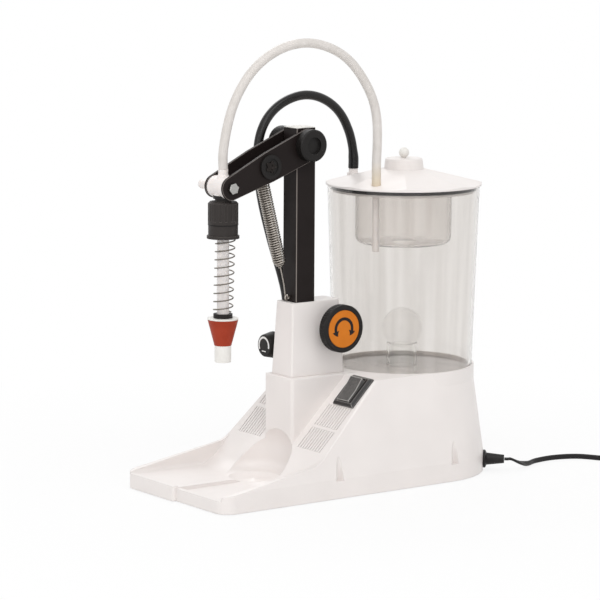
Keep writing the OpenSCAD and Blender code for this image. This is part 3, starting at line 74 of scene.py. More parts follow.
camera = bpy.data.objects.new("camera", bpy.data.cameras.new("camera"))
scene.collection.objects.link(camera)
camera.data.lens = CAMERA_LENS_MM
camera.data.sensor_width = CAMERA_SENSOR_MM
turn = (CAMERA_TARGET - CAMERA_PLACE).to_track_quat("-Z", "Y").to_matrix()
turn = turn @ Matrix.Rotation(math.radians(CAMERA_ROLL_DEG), 3, "Z")
camera.matrix_world = Matrix.Translation(CAMERA_PLACE) @ turn.to_4x4()
scene.camera = camera
print("camera distance:", round((CAMERA_TARGET - CAMERA_PLACE).length, 3), "m")


# %% [markdown]
# ## Tubes along a path
# Hoses, cords and spring wires are all one idea: a small outline carried along a line. A Blender curve with a
# bevel could do it, but its bore, swelling and twist would be hard to steer. Here the line is an array of
# points, the outline an array of angles, and their product is a grid that becomes a mesh in one go.

# %% Path helpers
def curve(points, steps):
    """Catmull-Rom: each stretch is a cubic whose ends head along the chord between the points beside it."""
    p = np.asarray(points, float)
    p = np.vstack([p[:1], p, p[-1:]])
    t = (np.arange(steps) / steps)[None, :, None]
    a, b, c, d = (p[i : len(p) - 3 + i, None] for i in range(4))
    body = 0.5 * (2 * b + (c - a) * t + (2 * a - 5 * b + 4 * c - d) * t**2 + (3 * b - a - 3 * c + d) * t**3)
    return np.vstack([body.reshape(-1, 3), p[-1:]])


def distances(path):
    """How far along the path each point lies: the running sum of the steps between neighbours."""
    return np.concatenate([[0], np.cumsum(np.linalg.norm(np.diff(path, axis=0), axis=1))])


def path_length(path):
    """The distance of the last point."""
    return float(distances(path)[-1])


def unit(v):
    """Each vector divided by its own length."""
    return v / np.linalg.norm(v, axis=-1, keepdims=True)


def headings(path):
    """The direction at each point is the chord between its neighbours."""
    return unit(np.vstack([path[1:2] - path[:1], path[2:] - path[:-2], path[-1:] - path[-2:-1]]))


def carried_sides(path, first):
    """A side vector is carried along the path: at each point its part along the heading is taken off."""
    sides = np.empty_like(path)
    side = np.asarray(first, float)
    for i, heading in enumerate(headings(path)):
        side = unit(side - (side @ heading) * heading)
        sides[i] = side
    return sides


# %% Tube helpers
def tube_grid(path, radius, sides, around):
    """Point (i, k) = path(i) + radius(i) * (cos(k) * side(i) + sin(k) * (heading(i) x side(i)))."""
    angle = np.linspace(0, 2 * math.pi, around, endpoint=False)
    other = np.cross(headings(path), sides)
    reach = np.broadcast_to(np.asarray(radius, float), (len(path),))[:, None, None]
    ring = np.cos(angle)[None, :, None] * sides[:, None] + np.sin(angle)[None, :, None] * other[:, None]
    return path[:, None] + reach * ring


def grid_faces(rows, columns, wrap_rows):
    """Each face joins (i, k), (i, k+1), (i+1, k+1) and (i+1, k), and the last column joins the first."""
    i = np.arange(rows if wrap_rows else rows - 1)[:, None]
    k = np.arange(columns)[None, :]
    after_i, after_k = (i + 1) % rows, (k + 1) % columns
    corners = [i * columns + k, i * columns + after_k, after_i * columns + after_k, after_i * columns + k]
    return np.stack([np.broadcast_to(c, (i.size, k.size)) for c in corners], axis=-1).reshape(-1, 4)


def mesh_piece(name, points, faces, sharp_deg=40):
    """Links a mesh of these points and faces, turned outwards, and smooth but for its sharper edges."""
    mesh = bpy.data.meshes.new(name)
    mesh.from_pydata(points, [], faces)
    shape = bmesh.new()
    shape.from_mesh(mesh)
    if shape.calc_volume(signed=True) < 0:
        bmesh.ops.reverse_faces(shape, faces=shape.faces)
        shape.to_mesh(mesh)
    shape.free()
    mesh.update()
    mesh.shade_smooth()
    mesh.set_sharp_from_angle(angle=math.radians(sharp_deg))
    piece = bpy.data.objects.new(name, mesh)
    scene.collection.objects.link(piece)
    return piece


def solid_tube(name, grid):
    """A grid of rings, closed by a flat face at each end."""
    rows, columns = grid.shape[:2]
    faces = grid_faces(rows, columns, False).tolist()
    ends = [list(range(columns))[::-1], list(range((rows - 1) * columns, rows * columns))]
    return mesh_piece(name, grid.reshape(-1, 3).tolist(), faces + ends)


def hollow_tube(name, outer, inner):
    """Out along the outside and back along the bore: the rows close on themselves."""
    grid = np.concatenate([outer, inner[::-1]])
    return mesh_piece(name, grid.reshape(-1, 3).tolist(), grid_faces(*grid.shape[:2], True).tolist())


# %% [markdown]
# ## Hoses
# The clear hose rises from the nozzle, arches over and drops to the lid, so it crosses four joints. It is cut
# into four stretches, each listed with the two bodies at its ends. Neighbours share the ring where they meet,
# so the joins stay shut. The black hose only joins the base to the lid.
#
# A curve through points that were placed one by one wavers a little from one to the next, which a gloss shows
# at once.

# %% Easing a route
BELLS_TO_END, LEAST_WIDTH = 3, 1e-6


def eased(path, reach):
    """Each point becomes the bell-weighted mean of the path near it. What that mean lost is averaged the same
    way and put back, so kinks go and the arch keeps its height. The bell narrows towards the ends, which stay
    put."""
    along = distances(path)
    to_end = np.minimum(along, along[-1] - along)
    width = np.clip(to_end / BELLS_TO_END, LEAST_WIDTH, reach)[:, None]
    weight = np.exp(-(((along[None] - along[:, None]) / width) ** 2) / 2) * np.gradient(along)[None]
    weight /= weight.sum(axis=1, keepdims=True)
    mean = weight @ path
    return mean + weight @ (path - mean)


# %% Clear hose
ACROSS, UP = np.array((0.0, 1.0, 0.0)), np.array((0.0, 0.0, 1.0))
CLEAR_HOSE_R, CLEAR_BORE_R = 5.0 * MM, 3.4 * MM
CLEAR_ROUTE = MM * np.array([
    (-134.13, 0, 350.68), (-134.13, 0, 370), (-128.5, -2, 402), (-121, -4, 424), (-101, -7, 454),
    (-69, -11, 475), (-33, -16, 481), (4, -20, 469), (25, -23, 450), (44, -27, 417), (47.5, -30, 385),
    (46, -31, 354), (46, -31, 324.3),
])
HOSE_STEPS, HOSE_AROUND, HOSE_EASE = 20, 40, 16 * MM
clear_path = eased(curve(CLEAR_ROUTE, HOSE_STEPS), HOSE_EASE)
clear_sides = carried_sides(clear_path, ACROSS)
clear_outer = tube_grid(clear_path, CLEAR_HOSE_R, clear_sides, HOSE_AROUND)
clear_inner = tube_grid(clear_path, CLEAR_BORE_R, clear_sides, HOSE_AROUND)
print("clear hose:", round(path_length(clear_path), 3), "m")

# %% Stretches of the clear hose
# Each has a name, the metres along the hose where it begins and stops, and the bodies at its two ends. The
# last one stops past the hose's end, which takes all that is left.
CLEAR_STRETCHES = [
    ("clear_hose_nozzle", 0, 0.063, "nozzle", "arm"),
    ("clear_hose_arm", 0.063, 0.2, "arm", "column"),
    ("clear_hose_arch", 0.2, 0.285, "column", "base"),
    ("clear_hose_lid", 0.285, 1, "base", "lid"),
]
along_clear = distances(clear_path)
clear_pieces = []
for name, begin, stop, near, far in CLEAR_STRETCHES:
    first, last = np.abs(along_clear - begin).argmin(), np.abs(along_clear - stop).argmin()
    rows = slice(first, last + 1)
    piece = hollow_tube(name, clear_outer[rows], clear_inner[rows])
    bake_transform(piece)
    clear_pieces.append(piece)
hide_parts("clear_hose")


# %% Black hose
def smooth(share):
    """From 0 to 1 with level ends: three times the square less twice the cube, and flat outside."""
    share = np.clip(share, 0, 1)
    return share**2 * (3 - 2 * share)


BLACK_HOSE_R, BLACK_END_R, BLACK_END_L = 5.0 * MM, 5.7 * MM, 22 * MM
BLACK_ROUTE = MM * np.array([
    (-27, 33, 172.3), (-27, 33, 198), (-33, 33, 224), (-44, 33, 254), (-53, 33, 283), (-61, 33, 312),
    (-65, 34, 345), (-62, 37, 374.5), (-48, 42, 395.8), (-29, 44, 410.8), (6.3, 45, 420), (40, 46, 409.5),
    (61.4, 48, 389.7), (72.5, 49.5, 366), (76, 50, 348), (76, 50, 335.3),
])
black_path = eased(curve(BLACK_ROUTE, HOSE_STEPS), HOSE_EASE)
from_lid = path_length(black_path) - distances(black_path)
swell = smooth((BLACK_END_L - from_lid) / (BLACK_END_L / 2))
black_radius = BLACK_HOSE_R + (BLACK_END_R - BLACK_HOSE_R) * swell
black_sides = carried_sides(black_path, ACROSS)
black_hose = solid_tube("black_hose_tube", tube_grid(black_path, black_radius, black_sides, HOSE_AROUND))
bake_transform(black_hose)
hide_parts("black_hose")
print("black hose:", round(path_length(black_path), 3), "m")

# %% [markdown]
# ## Mains lead
# The lead is a flat twin cord: two cores side by side, pinched between them. It leaves its gland flat, turns
# on edge within a few centimetres, and lies flat again in the coil. What the photograph doesn't show lies in
# a tied coil beyond the picture's right edge, and ends in its plug. The coil winds inwards on the table,
# climbs, and winds out again on top of itself, so it is a formula, while the free stretch is listed point by
# point.

# %% Route of the mains lead, in millimetres
COIL_X, COIL_Y, COIL_Z = 371, -152, 4.15
COIL_OUTER, COIL_PITCH, COIL_TURNS, CLIMB_TURN = 41, 6.3, 3.5, 0.5
CORD_W_MM, TAIL_L = 5.9, 30
LOOP_RINGS, CORD_STEPS, LEAD_IN_STEPS = 48, 8, 2
CORD_ROUTE = np.array([
    (196.63, -74.37, 13), (199.47, -76.75, 13), (202.53, -79.32, 13), (215, -80, 7.5), (232, -73, 3.6),
    (252, -64, 3), (280, -62, 3), (306, -72, 3), (321, -94, 3), (329, -120, COIL_Z),
])
LEAD_IN = np.array([(329.6, -126, COIL_Z), (330, -138, COIL_Z)])
coil_all = 2 * COIL_TURNS + CLIMB_TURN
t = np.arange(int(LOOP_RINGS * coil_all) + 1) / LOOP_RINGS
coil_r = COIL_OUTER - COIL_PITCH * np.minimum(t, coil_all - t)
coil_a = 2 * math.pi * t
climb = COIL_PITCH * (1 - np.cos(math.pi * np.clip((t - COIL_TURNS) / CLIMB_TURN, 0, 1))) / 2
coil = np.stack([COIL_X - coil_r * np.cos(coil_a), COIL_Y - coil_r * np.sin(coil_a), COIL_Z + climb], axis=1)
tail = coil[-1] + np.array([(0, TAIL_L / 2, 0), (0, TAIL_L - CORD_W_MM, 0), (0, TAIL_L, 0)])
cord_path = MM * np.vstack([curve(CORD_ROUTE, CORD_STEPS), curve(LEAD_IN, LEAD_IN_STEPS), coil, tail])
print("mains lead:", round(path_length(cord_path), 3), "m,", coil_all, "turns in its coil")

# %% Mains lead
CORD_W, CORD_T = CORD_W_MM * MM, 3.5 * MM
CORD_PINCH, PINCH_W, CORD_AROUND = 0.24, 0.35, 28
QUARTER_TURNS = [(0.008, 0.042), (0.148, 0.198)]
ahead = headings(cord_path)
flat_side = unit(np.cross(UP, ahead))
flat_up = np.cross(ahead, flat_side)
along_cord = distances(cord_path)
twist = sum(math.pi / 2 * smooth((along_cord - begin) / (stop - begin)) for begin, stop in QUARTER_TURNS)
wide = np.cos(twist)[:, None] * flat_side + np.sin(twist)[:, None] * flat_up
tall = np.cos(twist)[:, None] * flat_up - np.sin(twist)[:, None] * flat_side
# The outline is an ellipse, pinched in where the two cores meet, and the twist turns it about the path.
angle = np.linspace(0, 2 * math.pi, CORD_AROUND, endpoint=False)
pinch = 1 - CORD_PINCH * np.exp(-((np.cos(angle) / PINCH_W) ** 2))
outline = np.stack([CORD_W / 2 * np.cos(angle), CORD_T / 2 * np.sin(angle) * pinch], axis=1)
cord_grid = cord_path[:, None] + outline[None, :, :1] * wide[:, None] + outline[None, :, 1:] * tall[:, None]
mains_lead = solid_tube("mains_lead", cord_grid)
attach(mains_lead, "base")
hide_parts("mains_cord", "cord_coil")
print("flat twin cord:", round(CORD_W / MM, 2), "by", round(CORD_T / MM, 2), "mm")

# %% [markdown]
# ## Springs
# A spring is a wire wound on a cylinder: a helix. A Screw modifier could wind it, but a formula lets the
# curls change on the way. The arm's spring pulls, so its curls lie close, narrow to a cone at the end, and a
# straight end runs to the eye on the column. The nozzle's spring pushes, so its curls stand apart, and
# because it is wider than the tube inside it, it leans a little to one side.

# %% Curls of the arm's spring
CURL_RINGS, WIRE_AROUND = 28, 12
ARM_WIRE_R, ARM_OD, ARM_HEAD = 0.85 * MM, 14.6 * MM, 13 * MM
ARM_CURLS, ARM_PITCH = 37, 2.673 * MM
LOOP_R, EYE_RING_R, EYE_WIRE_R = 7.5 * MM, 3.2 * MM, 1.0 * MM
CONE_CURLS, CONE_END, CONE_BULGE, START_TURN = 2.2, 0.12, 0.6, 0.4
hook_lo, hook_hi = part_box("spring_hook")
loop_centre = np.array((hook_lo.x + LOOP_R + ARM_WIRE_R, 0, hook_hi.z - LOOP_R - ARM_WIRE_R))
eye_lo, eye_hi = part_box("spring_eye")
eye_centre = np.array((eye_lo.x + EYE_RING_R, 0, (eye_lo.z + eye_hi.z) / 2))
down = unit(eye_centre - loop_centre)
side = np.cross(ACROSS, down)

# A point lies along the line from loop to eye, and out from it by a radius that opens from nothing, stays,
# and narrows to the cone, at an angle that grows with the turns.
turns = np.arange(ARM_CURLS * CURL_RINGS + 1) / CURL_RINGS
narrowing = np.clip((ARM_CURLS - turns) / CONE_CURLS, CONE_END, 1) ** CONE_BULGE
curl_r = (ARM_OD / 2 - ARM_WIRE_R) * smooth(turns / START_TURN) * narrowing
curl_a = 2 * math.pi * turns[:, None]
curl_out = curl_r[:, None] * (np.cos(curl_a) * side + np.sin(curl_a) * ACROSS)
curls = loop_centre + down * (ARM_HEAD + ARM_PITCH * turns)[:, None] + curl_out
print("arm spring:", ARM_CURLS, "curls over", round(ARM_PITCH * ARM_CURLS, 4), "m")

# %% Arm spring
HOOK_GAP, HOOK_DEG, HOOK_RINGS = 0.1 * MM, 230, 24
TAIL_SHARES, TAIL_LEANS_FROM = np.array((0.05, 0.12, 0.3, 0.55, 0.75, 0.86, 0.93))[:, None], 0.6
HOOK_R = EYE_WIRE_R + ARM_WIRE_R + HOOK_GAP
eye_top = eye_centre - (EYE_RING_R - EYE_WIRE_R) * down
hook_turn = np.radians(np.linspace(0, HOOK_DEG, HOOK_RINGS))[:, None]
hook = eye_top + HOOK_R * (np.cos(hook_turn) * ACROSS + np.sin(hook_turn) * down)
tail_from = ARM_HEAD + ARM_PITCH * ARM_CURLS
tail_to = float((hook[0] - loop_centre) @ down)
tail_lean = HOOK_R * np.clip((TAIL_SHARES - TAIL_LEANS_FROM) / (1 - TAIL_LEANS_FROM), 0, 1)
tail = loop_centre + down * (tail_from + (tail_to - tail_from) * TAIL_SHARES) + tail_lean * ACROSS
arm_path = np.vstack([curls, tail, hook])
arm_grid = tube_grid(arm_path, ARM_WIRE_R, carried_sides(arm_path, ACROSS), WIRE_AROUND)
arm_spring = solid_tube("arm_spring_wire", arm_grid)
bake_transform(arm_spring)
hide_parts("arm_spring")
print("from loop to eye:", round(float(np.linalg.norm(eye_centre - loop_centre)), 4), "m")

# %% Nozzle spring
NOZZLE_WIRE_R, NOZZLE_OD, NOZZLE_CURLS = 0.75 * MM, 22 * MM, 9
END_GAP, END_CLOSER = 1.2 * NOZZLE_WIRE_R, 0.04
LEAN, LEAN_TO = 2.4 * MM, np.array((0.8, -0.6))
tube_lo, tube_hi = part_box("fill_tube")
nozzle_axis = (tube_lo + tube_hi) / 2
spring_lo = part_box("cone_ring")[1].z + END_GAP
spring_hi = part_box("collar")[0].z - END_GAP
turns = np.arange(NOZZLE_CURLS * CURL_RINGS + 1) / CURL_RINGS
# The wire goes round the tube's axis, and its centre leans over as it rises. A sine taken off the height
# brings the curls a little closer at both ends.
rise = turns / NOZZLE_CURLS
rise = rise - END_CLOSER * np.sin(2 * math.pi * rise) / (2 * math.pi)
nozzle_r = NOZZLE_OD / 2 - NOZZLE_WIRE_R
lean = LEAN * rise[:, None] * LEAN_TO
nozzle_path = np.stack([nozzle_axis.x + lean[:, 0] + nozzle_r * np.cos(2 * math.pi * turns),
                        lean[:, 1] + nozzle_r * np.sin(2 * math.pi * turns),
                        spring_lo + (spring_hi - spring_lo) * rise], axis=1)
nozzle_grid = tube_grid(nozzle_path, NOZZLE_WIRE_R, carried_sides(nozzle_path, UP), WIRE_AROUND)
nozzle_spring = solid_tube("nozzle_spring_wire", nozzle_grid)
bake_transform(nozzle_spring)
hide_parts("nozzle_spring")
print("nozzle spring:", NOZZLE_CURLS, "curls over", round(spring_hi - spring_lo, 4), "m")

# %% [markdown]
# ## Small trim
# The regulator's dial carries a white arc and a short index bar, the clamp knob's disc a printed arrow that
# shows which ways it turns, and the spring's pin is held by a lobed push-on washer in its dished head. A
# rubber sleeve seals the nozzle's neck, a thin black ring between the grip and its collar is painted shade
# for the shadowed gap there, and a hexagon screw holds the tee. Marks could be drawn in a material, but a
# thin mesh stays sharp from close by. All of these are short outlines carried along a line or round an axis,
# and the outline may change on the way.

# %% Dial marks
INK_T = 0.15 * MM
INK_FRONT, INK_SIDES = INK_T * np.array((-1, -1, 0, 0)), np.array((-1, 1, 1, -1))
ARC_IN, ARC_OUT, ARC_DEG, ARC_RINGS = 7.9 * MM, 10.0 * MM, (-30, 195), 60
BAR_HALF, BAR_DROP, BAR_W, BAR_RINGS = 3.6 * MM, 6.2 * MM, 1.0 * MM, 7
dial_lo, dial_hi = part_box("regulator_knob")
dial_y, dial_z = (dial_lo.y + dial_hi.y) / 2, (dial_lo.z + dial_hi.z) / 2


def dial_strip(name, y, z):
    """Rings of four corners at y and z: two lie on the dial's face, two stand off it by the ink's depth."""
    x, y, z = np.broadcast_arrays(dial_lo.x + INK_FRONT, y, z)
    return solid_tube(name, np.stack([x, y, z], axis=-1))


sweep = np.radians(np.linspace(*ARC_DEG, ARC_RINGS))[:, None]
arc_r = np.array((ARC_IN, ARC_OUT, ARC_OUT, ARC_IN))
dial_arc = dial_strip("dial_arc", dial_y + np.cos(sweep) * arc_r, dial_z + np.sin(sweep) * arc_r)
bar_y = dial_y + np.linspace(-BAR_HALF, BAR_HALF, BAR_RINGS)[:, None]
dial_bar = dial_strip("dial_bar", bar_y, dial_z - BAR_DROP + BAR_W / 2 * INK_SIDES)
for mark in (dial_arc, dial_bar):
    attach(mark, "regulator")
print("dial marks: an arc of", ARC_DEG[1] - ARC_DEG[0], "degrees and a bar")


# %% Turning arrow
def rings_about_y(name, box, radius, angle, y):
    """Rings round the box's axis along Y: x = middle + r cos(a), z = middle + r sin(a)."""
    middle = (box[0] + box[1]) / 2
    x, z = middle.x + radius * np.cos(angle), middle.z + radius * np.sin(angle)
    return solid_tube(name, np.stack([x, np.broadcast_to(y, x.shape), z], axis=-1))


ARROW_R, ARROW_HALF, HEAD_HALF, TIP_HALF = 11.0 * MM, 1.7 * MM, 4.4 * MM, 0.05 * MM
ARROW_FROM, ARROW_TO, HEAD_DEG = -45, 225, 32
HEAD_RINGS, SHAFT_RINGS = 9, 60
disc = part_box("clamp_knob_disc")
sweep_deg = np.concatenate([np.linspace(ARROW_FROM, ARROW_FROM + HEAD_DEG, HEAD_RINGS),
                            np.linspace(ARROW_FROM + HEAD_DEG, ARROW_TO - HEAD_DEG, SHAFT_RINGS),
                            np.linspace(ARROW_TO - HEAD_DEG, ARROW_TO, HEAD_RINGS)])
to_tip = np.minimum(sweep_deg - ARROW_FROM, ARROW_TO - sweep_deg)
# At each end the strip is a head, which starts wide and narrows evenly to its tip.
half_w = np.full(len(sweep_deg), ARROW_HALF)
for head in (slice(None, HEAD_RINGS), slice(-HEAD_RINGS, None)):
    half_w[head] = np.maximum(HEAD_HALF * to_tip[head] / HEAD_DEG, TIP_HALF)
arrow_r = ARROW_R + half_w[:, None] * INK_SIDES
turning_arrow = rings_about_y("turning_arrow", disc, arrow_r, np.radians(sweep_deg)[:, None],
                              disc[0].y + INK_FRONT)
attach(turning_arrow, "clamp")
print("turning arrow:", ARROW_TO - ARROW_FROM, "degrees")

# %% Pin washer
DISH_DEPTH, WASHER_R, WASHER_H, WASHER_AROUND = 1.1 * MM, 6.0 * MM, 1.4 * MM, 80
LOBE, LOBES, LOBED_PAST = 1.0 * MM, 5, 0.5
# Shares of the washer's radius and of its height, from the rim to the middle.
WASHER_PROFILE = [(1.0, 0.0), (1.0, 0.45), (0.93, 0.75), (0.6, 0.95), (0.42, 1.0), (0.34, 0.5), (0.12, 0.45)]
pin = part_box("spring_pin")
angle = np.linspace(0, 2 * math.pi, WASHER_AROUND, endpoint=False)
out, up = np.array(WASHER_PROFILE).T[:, :, None]
washer_r = out * np.where(out > LOBED_PAST, WASHER_R + LOBE * np.cos(LOBES * angle), WASHER_R)
pin_washer = rings_about_y("pin_washer", pin, washer_r, angle, pin[0].y + DISH_DEPTH - WASHER_H * up)
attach(pin_washer, "arm")
print("pin washer:", LOBES, "lobes")

# %% Nozzle sleeve and painted shade ring
RING_AROUND = 72


def upright_ring(name, centre_x, inner, outer, low, high):
    """A rectangle of (radius, height) turned round an upright axis: x = centre + r cos(a), y = r sin(a)."""
    outline = np.array([(inner, low), (outer, low), (outer, high), (inner, high)])
    a = np.linspace(0, 2 * math.pi, RING_AROUND, endpoint=False)
    x, y = centre_x + outline[:, :1] * np.cos(a), outline[:, :1] * np.sin(a)
    rings = np.stack([x, y, np.broadcast_to(outline[:, 1:], x.shape)], axis=-1)
    return mesh_piece(name, rings.reshape(-1, 3).tolist(), grid_faces(*x.shape, True).tolist())


STUB_R, SLEEVE_T, SLEEVE_H = 10.05 * MM, 0.6 * MM, 3.4 * MM
# A black ring at the foot of the grip is painted shade for the shadowed gap between grip and collar.
SHADE_RING_PROUD, SHADE_RING_W, SHADE_RING_T = 0.15 * MM, 1.5 * MM, 0.9 * MM
grip_lo, grip_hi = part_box("grip_nut")
grip_r = (grip_hi.x - grip_lo.x) / 2
neck_sleeve = upright_ring("neck_sleeve", nozzle_axis.x, STUB_R, STUB_R + SLEEVE_T,
                           grip_hi.z, grip_hi.z + SLEEVE_H)
grip_gap_shade = upright_ring("grip_gap_shade", nozzle_axis.x, grip_r - SHADE_RING_W, grip_r + SHADE_RING_PROUD,
                           grip_lo.z - SHADE_RING_T / 2, grip_lo.z + SHADE_RING_T / 2)
for ring in (neck_sleeve, grip_gap_shade):
    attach(ring, "nozzle")
# The second ring is the painted shade ring below the grip.
print("sleeve and washer round the nozzle, grip radius", round(grip_r, 4), "m")

# %% Tee screw
HEX_R, HEAD_H, FLANGE_R, HEX_TILT_DEG, HEX_STEP_DEG = 6.1 * MM, 4.0 * MM, 5.3 * MM, 12, 5
ACROSS_FLATS = math.cos(math.pi / 6)
CHAMFER_R, CROWN_R = 0.9 * ACROSS_FLATS * HEX_R, 0.3 * HEX_R
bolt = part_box("tee_bolt")
turned = np.radians(np.arange(0, 360, HEX_STEP_DEG))
# In each sixth of a turn a hexagon's edge is a straight line: its middle's distance over the cosine.
hexagon = ACROSS_FLATS / np.cos(turned % (math.pi / 3) - math.pi / 6)
circle = np.ones_like(hexagon)
HEAD_PROFILE = [(FLANGE_R * circle, 0), (FLANGE_R * circle, 0.2), (HEX_R * hexagon, 0.24),
                (HEX_R * hexagon, 0.84), (CHAMFER_R * circle, 0.98), (CROWN_R * circle, 1.0)]
head_r = np.stack([ring for ring, share in HEAD_PROFILE])
head_rise = HEAD_H * np.array([share for ring, share in HEAD_PROFILE])[:, None]
tee_screw = rings_about_y("tee_screw", bolt, head_r, turned + math.radians(HEX_TILT_DEG),
                          bolt[0].y + HEAD_H - head_rise)
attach(tee_screw, "nozzle")
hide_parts("tee_bolt")
print("tee screw head:", round(2 * HEX_R, 4), "m across corners")


# %% [markdown]
# ## Finishes
# Each finish starts from the real material. Image textures could give these, but noise on a piece's own
# coordinates has no seams and keeps its size in millimetres on every piece. One helper adds a node with its
# settings and links, another turns an sRGB hex value to the linear numbers that a shader wants.

# %% Node helpers
def linear(hex_colour, alpha=1.0):
    """sRGB to linear light: the straight part below 0.04045, the power curve above."""
    c = np.array([int(hex_colour[i : i + 2], 16) for i in (1, 3, 5)]) / 255
    return (*np.where(c <= 0.04045, c / 12.92, ((c + 0.055) / 1.055) ** 2.4), alpha)


def add(tree, kind, inputs=None, **settings):
    """One node: settings are its own properties, inputs its sockets, as a value, as a hex colour or as a
    socket to link from."""
    made = tree.nodes.new(kind)
    for key, value in settings.items():
        setattr(made, key, value)
    for key, value in (inputs or {}).items():
        if isinstance(value, bpy.types.NodeSocket):
            tree.links.new(value, made.inputs[key])
        else:
            made.inputs[key].default_value = linear(value) if isinstance(value, str) else value
    return made


def start(name, **sockets):
    """A new material and its shader, with the sockets that are the same all over."""
    material = bpy.data.materials.new(name)
    material.use_nodes = True
    shader = material.node_tree.nodes["Principled BSDF"]
    for key, value in sockets.items():
        shader.inputs[key.replace("_", " ")].default_value = value
    return material, material.node_tree, shader


# %% Patterns and tones
PATTERN_LOW, PATTERN_HIGH = 0.3, 0.7


def per_metre(size_mm):
    """A pattern of this size repeats this often in a metre."""
    return 1000 / size_mm


def mottle(tree, size_mm, detail=3.0, stretch=(1, 1, 1)):
    """Soft spots of this size on the piece's own coordinates, drawn out along an axis by stretch. Most of
    their values lie between PATTERN_LOW and PATTERN_HIGH."""
    place = add(tree, "ShaderNodeTexCoord").outputs["Object"]
    spread = add(tree, "ShaderNodeMapping", {"Vector": place, "Scale": [1 / s for s in stretch]})
    spots = {"Vector": spread.outputs[0], "Scale": per_metre(size_mm), "Detail": detail}
    return add(tree, "ShaderNodeTexNoise", spots).outputs["Fac"]


def two_tone(tree, pattern, first, second, low=PATTERN_LOW, high=PATTERN_HIGH):
    """One colour, a hex value or a socket, fading into another as the pattern goes from low to high. The mix
    node's colours come after its numbers."""
    share = add(tree, "ShaderNodeMapRange", {"Value": pattern, "From Min": low, "From Max": high})
    mix = {0: share.outputs["Result"], 6: first, 7: second}
    return add(tree, "ShaderNodeMix", mix, data_type="RGBA").outputs[2]


def uneven_gloss(tree, shader, pattern, rough, spread):
    """Roughness that the pattern takes from less than rough to more than it, by this share."""
    limits = {"From Min": PATTERN_LOW, "From Max": PATTERN_HIGH,
              "To Min": rough * (1 - spread), "To Max": rough * (1 + spread)}
    gloss = add(tree, "ShaderNodeMapRange", {"Value": pattern, **limits})
    tree.links.new(gloss.outputs["Result"], shader.inputs["Roughness"])


# %% [markdown]
# ### Plastics and rubber
# The base, tower and lid are white ABS from a polished mould: a soft gloss with no grain, and edges rounded
# by a millimetre or so, which catch the light as fine pale lines. The black pieces are glass-filled nylon
# with an eroded mould texture; on the grip, the switch and its rocker a pale tone along the edges is a
# painted highlight. The milky pieces are natural polypropylene and white acetal, which let a little light in.
# The grain of a mould is finer than a pixel here, so it is drawn coarse enough to show.

# %% Moulded plastic
GLOSS_PATCH, GLOSS_SPREAD, GRAIN_STRENGTH, EDGE_SAMPLES = 1 / 4, 0.15, 0.5, 8
# Painted highlight on rounded edges: it fades in as the rounded and flat normals agree less, from the first
# value to the second.
EDGE_HIGHLIGHT_FROM, EDGE_HIGHLIGHT_TO = 0.99, 0.86


def moulded(name, light, dark, rough, edge_mm=0, grain_mm=0, depth_mm=0, patch_mm=60, edge_highlight=None, **sockets):
    """Moulded plastic or rubber: two close tones in soft patches, the mould's grain as bump, and rounded
    edges. Where the rounding turns away from the face, a pale tone is painted on as a painted highlight."""
    material, tree, shader = start(name, **sockets)
    colour = two_tone(tree, mottle(tree, patch_mm, detail=2), light, dark)
    uneven_gloss(tree, shader, mottle(tree, GLOSS_PATCH * patch_mm), rough, GLOSS_SPREAD)
    surface = {}
    if edge_mm:
        rounded = add(tree, "ShaderNodeBevel", {"Radius": edge_mm * MM}, samples=EDGE_SAMPLES)
        surface["Normal"] = rounded.outputs["Normal"]
    # Painted highlight: where the rounded normal leans away from the face, the colour fades to the pale edge
    # tone.
    if edge_highlight:
        face = add(tree, "ShaderNodeNewGeometry").outputs["Normal"]
        agree = add(tree, "ShaderNodeVectorMath", {0: surface["Normal"], 1: face}, operation="DOT_PRODUCT")
        colour = two_tone(tree, agree.outputs["Value"], colour, edge_highlight, EDGE_HIGHLIGHT_FROM, EDGE_HIGHLIGHT_TO)
    if grain_mm:
        grain = {"Height": mottle(tree, grain_mm, detail=2), "Strength": GRAIN_STRENGTH,
                 "Distance": depth_mm * MM}
        surface["Normal"] = add(tree, "ShaderNodeBump", {**grain, **surface}).outputs["Normal"]
    if surface:
        tree.links.new(surface["Normal"], shader.inputs["Normal"])
    tree.links.new(colour, shader.inputs["Base Color"])
    return material


abs_white = moulded("white ABS, polished mould", "#EFE9E6", "#EAE4E1", rough=0.36, edge_mm=1.4, IOR=1.53)
polypropylene = moulded("natural polypropylene", "#F1EBE8", "#E8E1DE", rough=0.38, edge_mm=0.5, patch_mm=9,
                        IOR=1.49, Subsurface_Weight=0.2, Subsurface_Scale=0.003,
                        Subsurface_Radius=(1.0, 0.9, 0.8))
acetal_white = moulded("white acetal", "#ECEAE5", "#E6E3DE", rough=0.34, edge_mm=0.5, patch_mm=20, IOR=1.48)
print("white and milky plastics made")

# %% Black plastics and rubber
nylon_black = moulded("black nylon, eroded mould", "#1F1C1B", "#191716", rough=0.48, edge_mm=0.5,
                      grain_mm=0.6, depth_mm=0.05, IOR=1.53, Specular_IOR_Level=0.2)
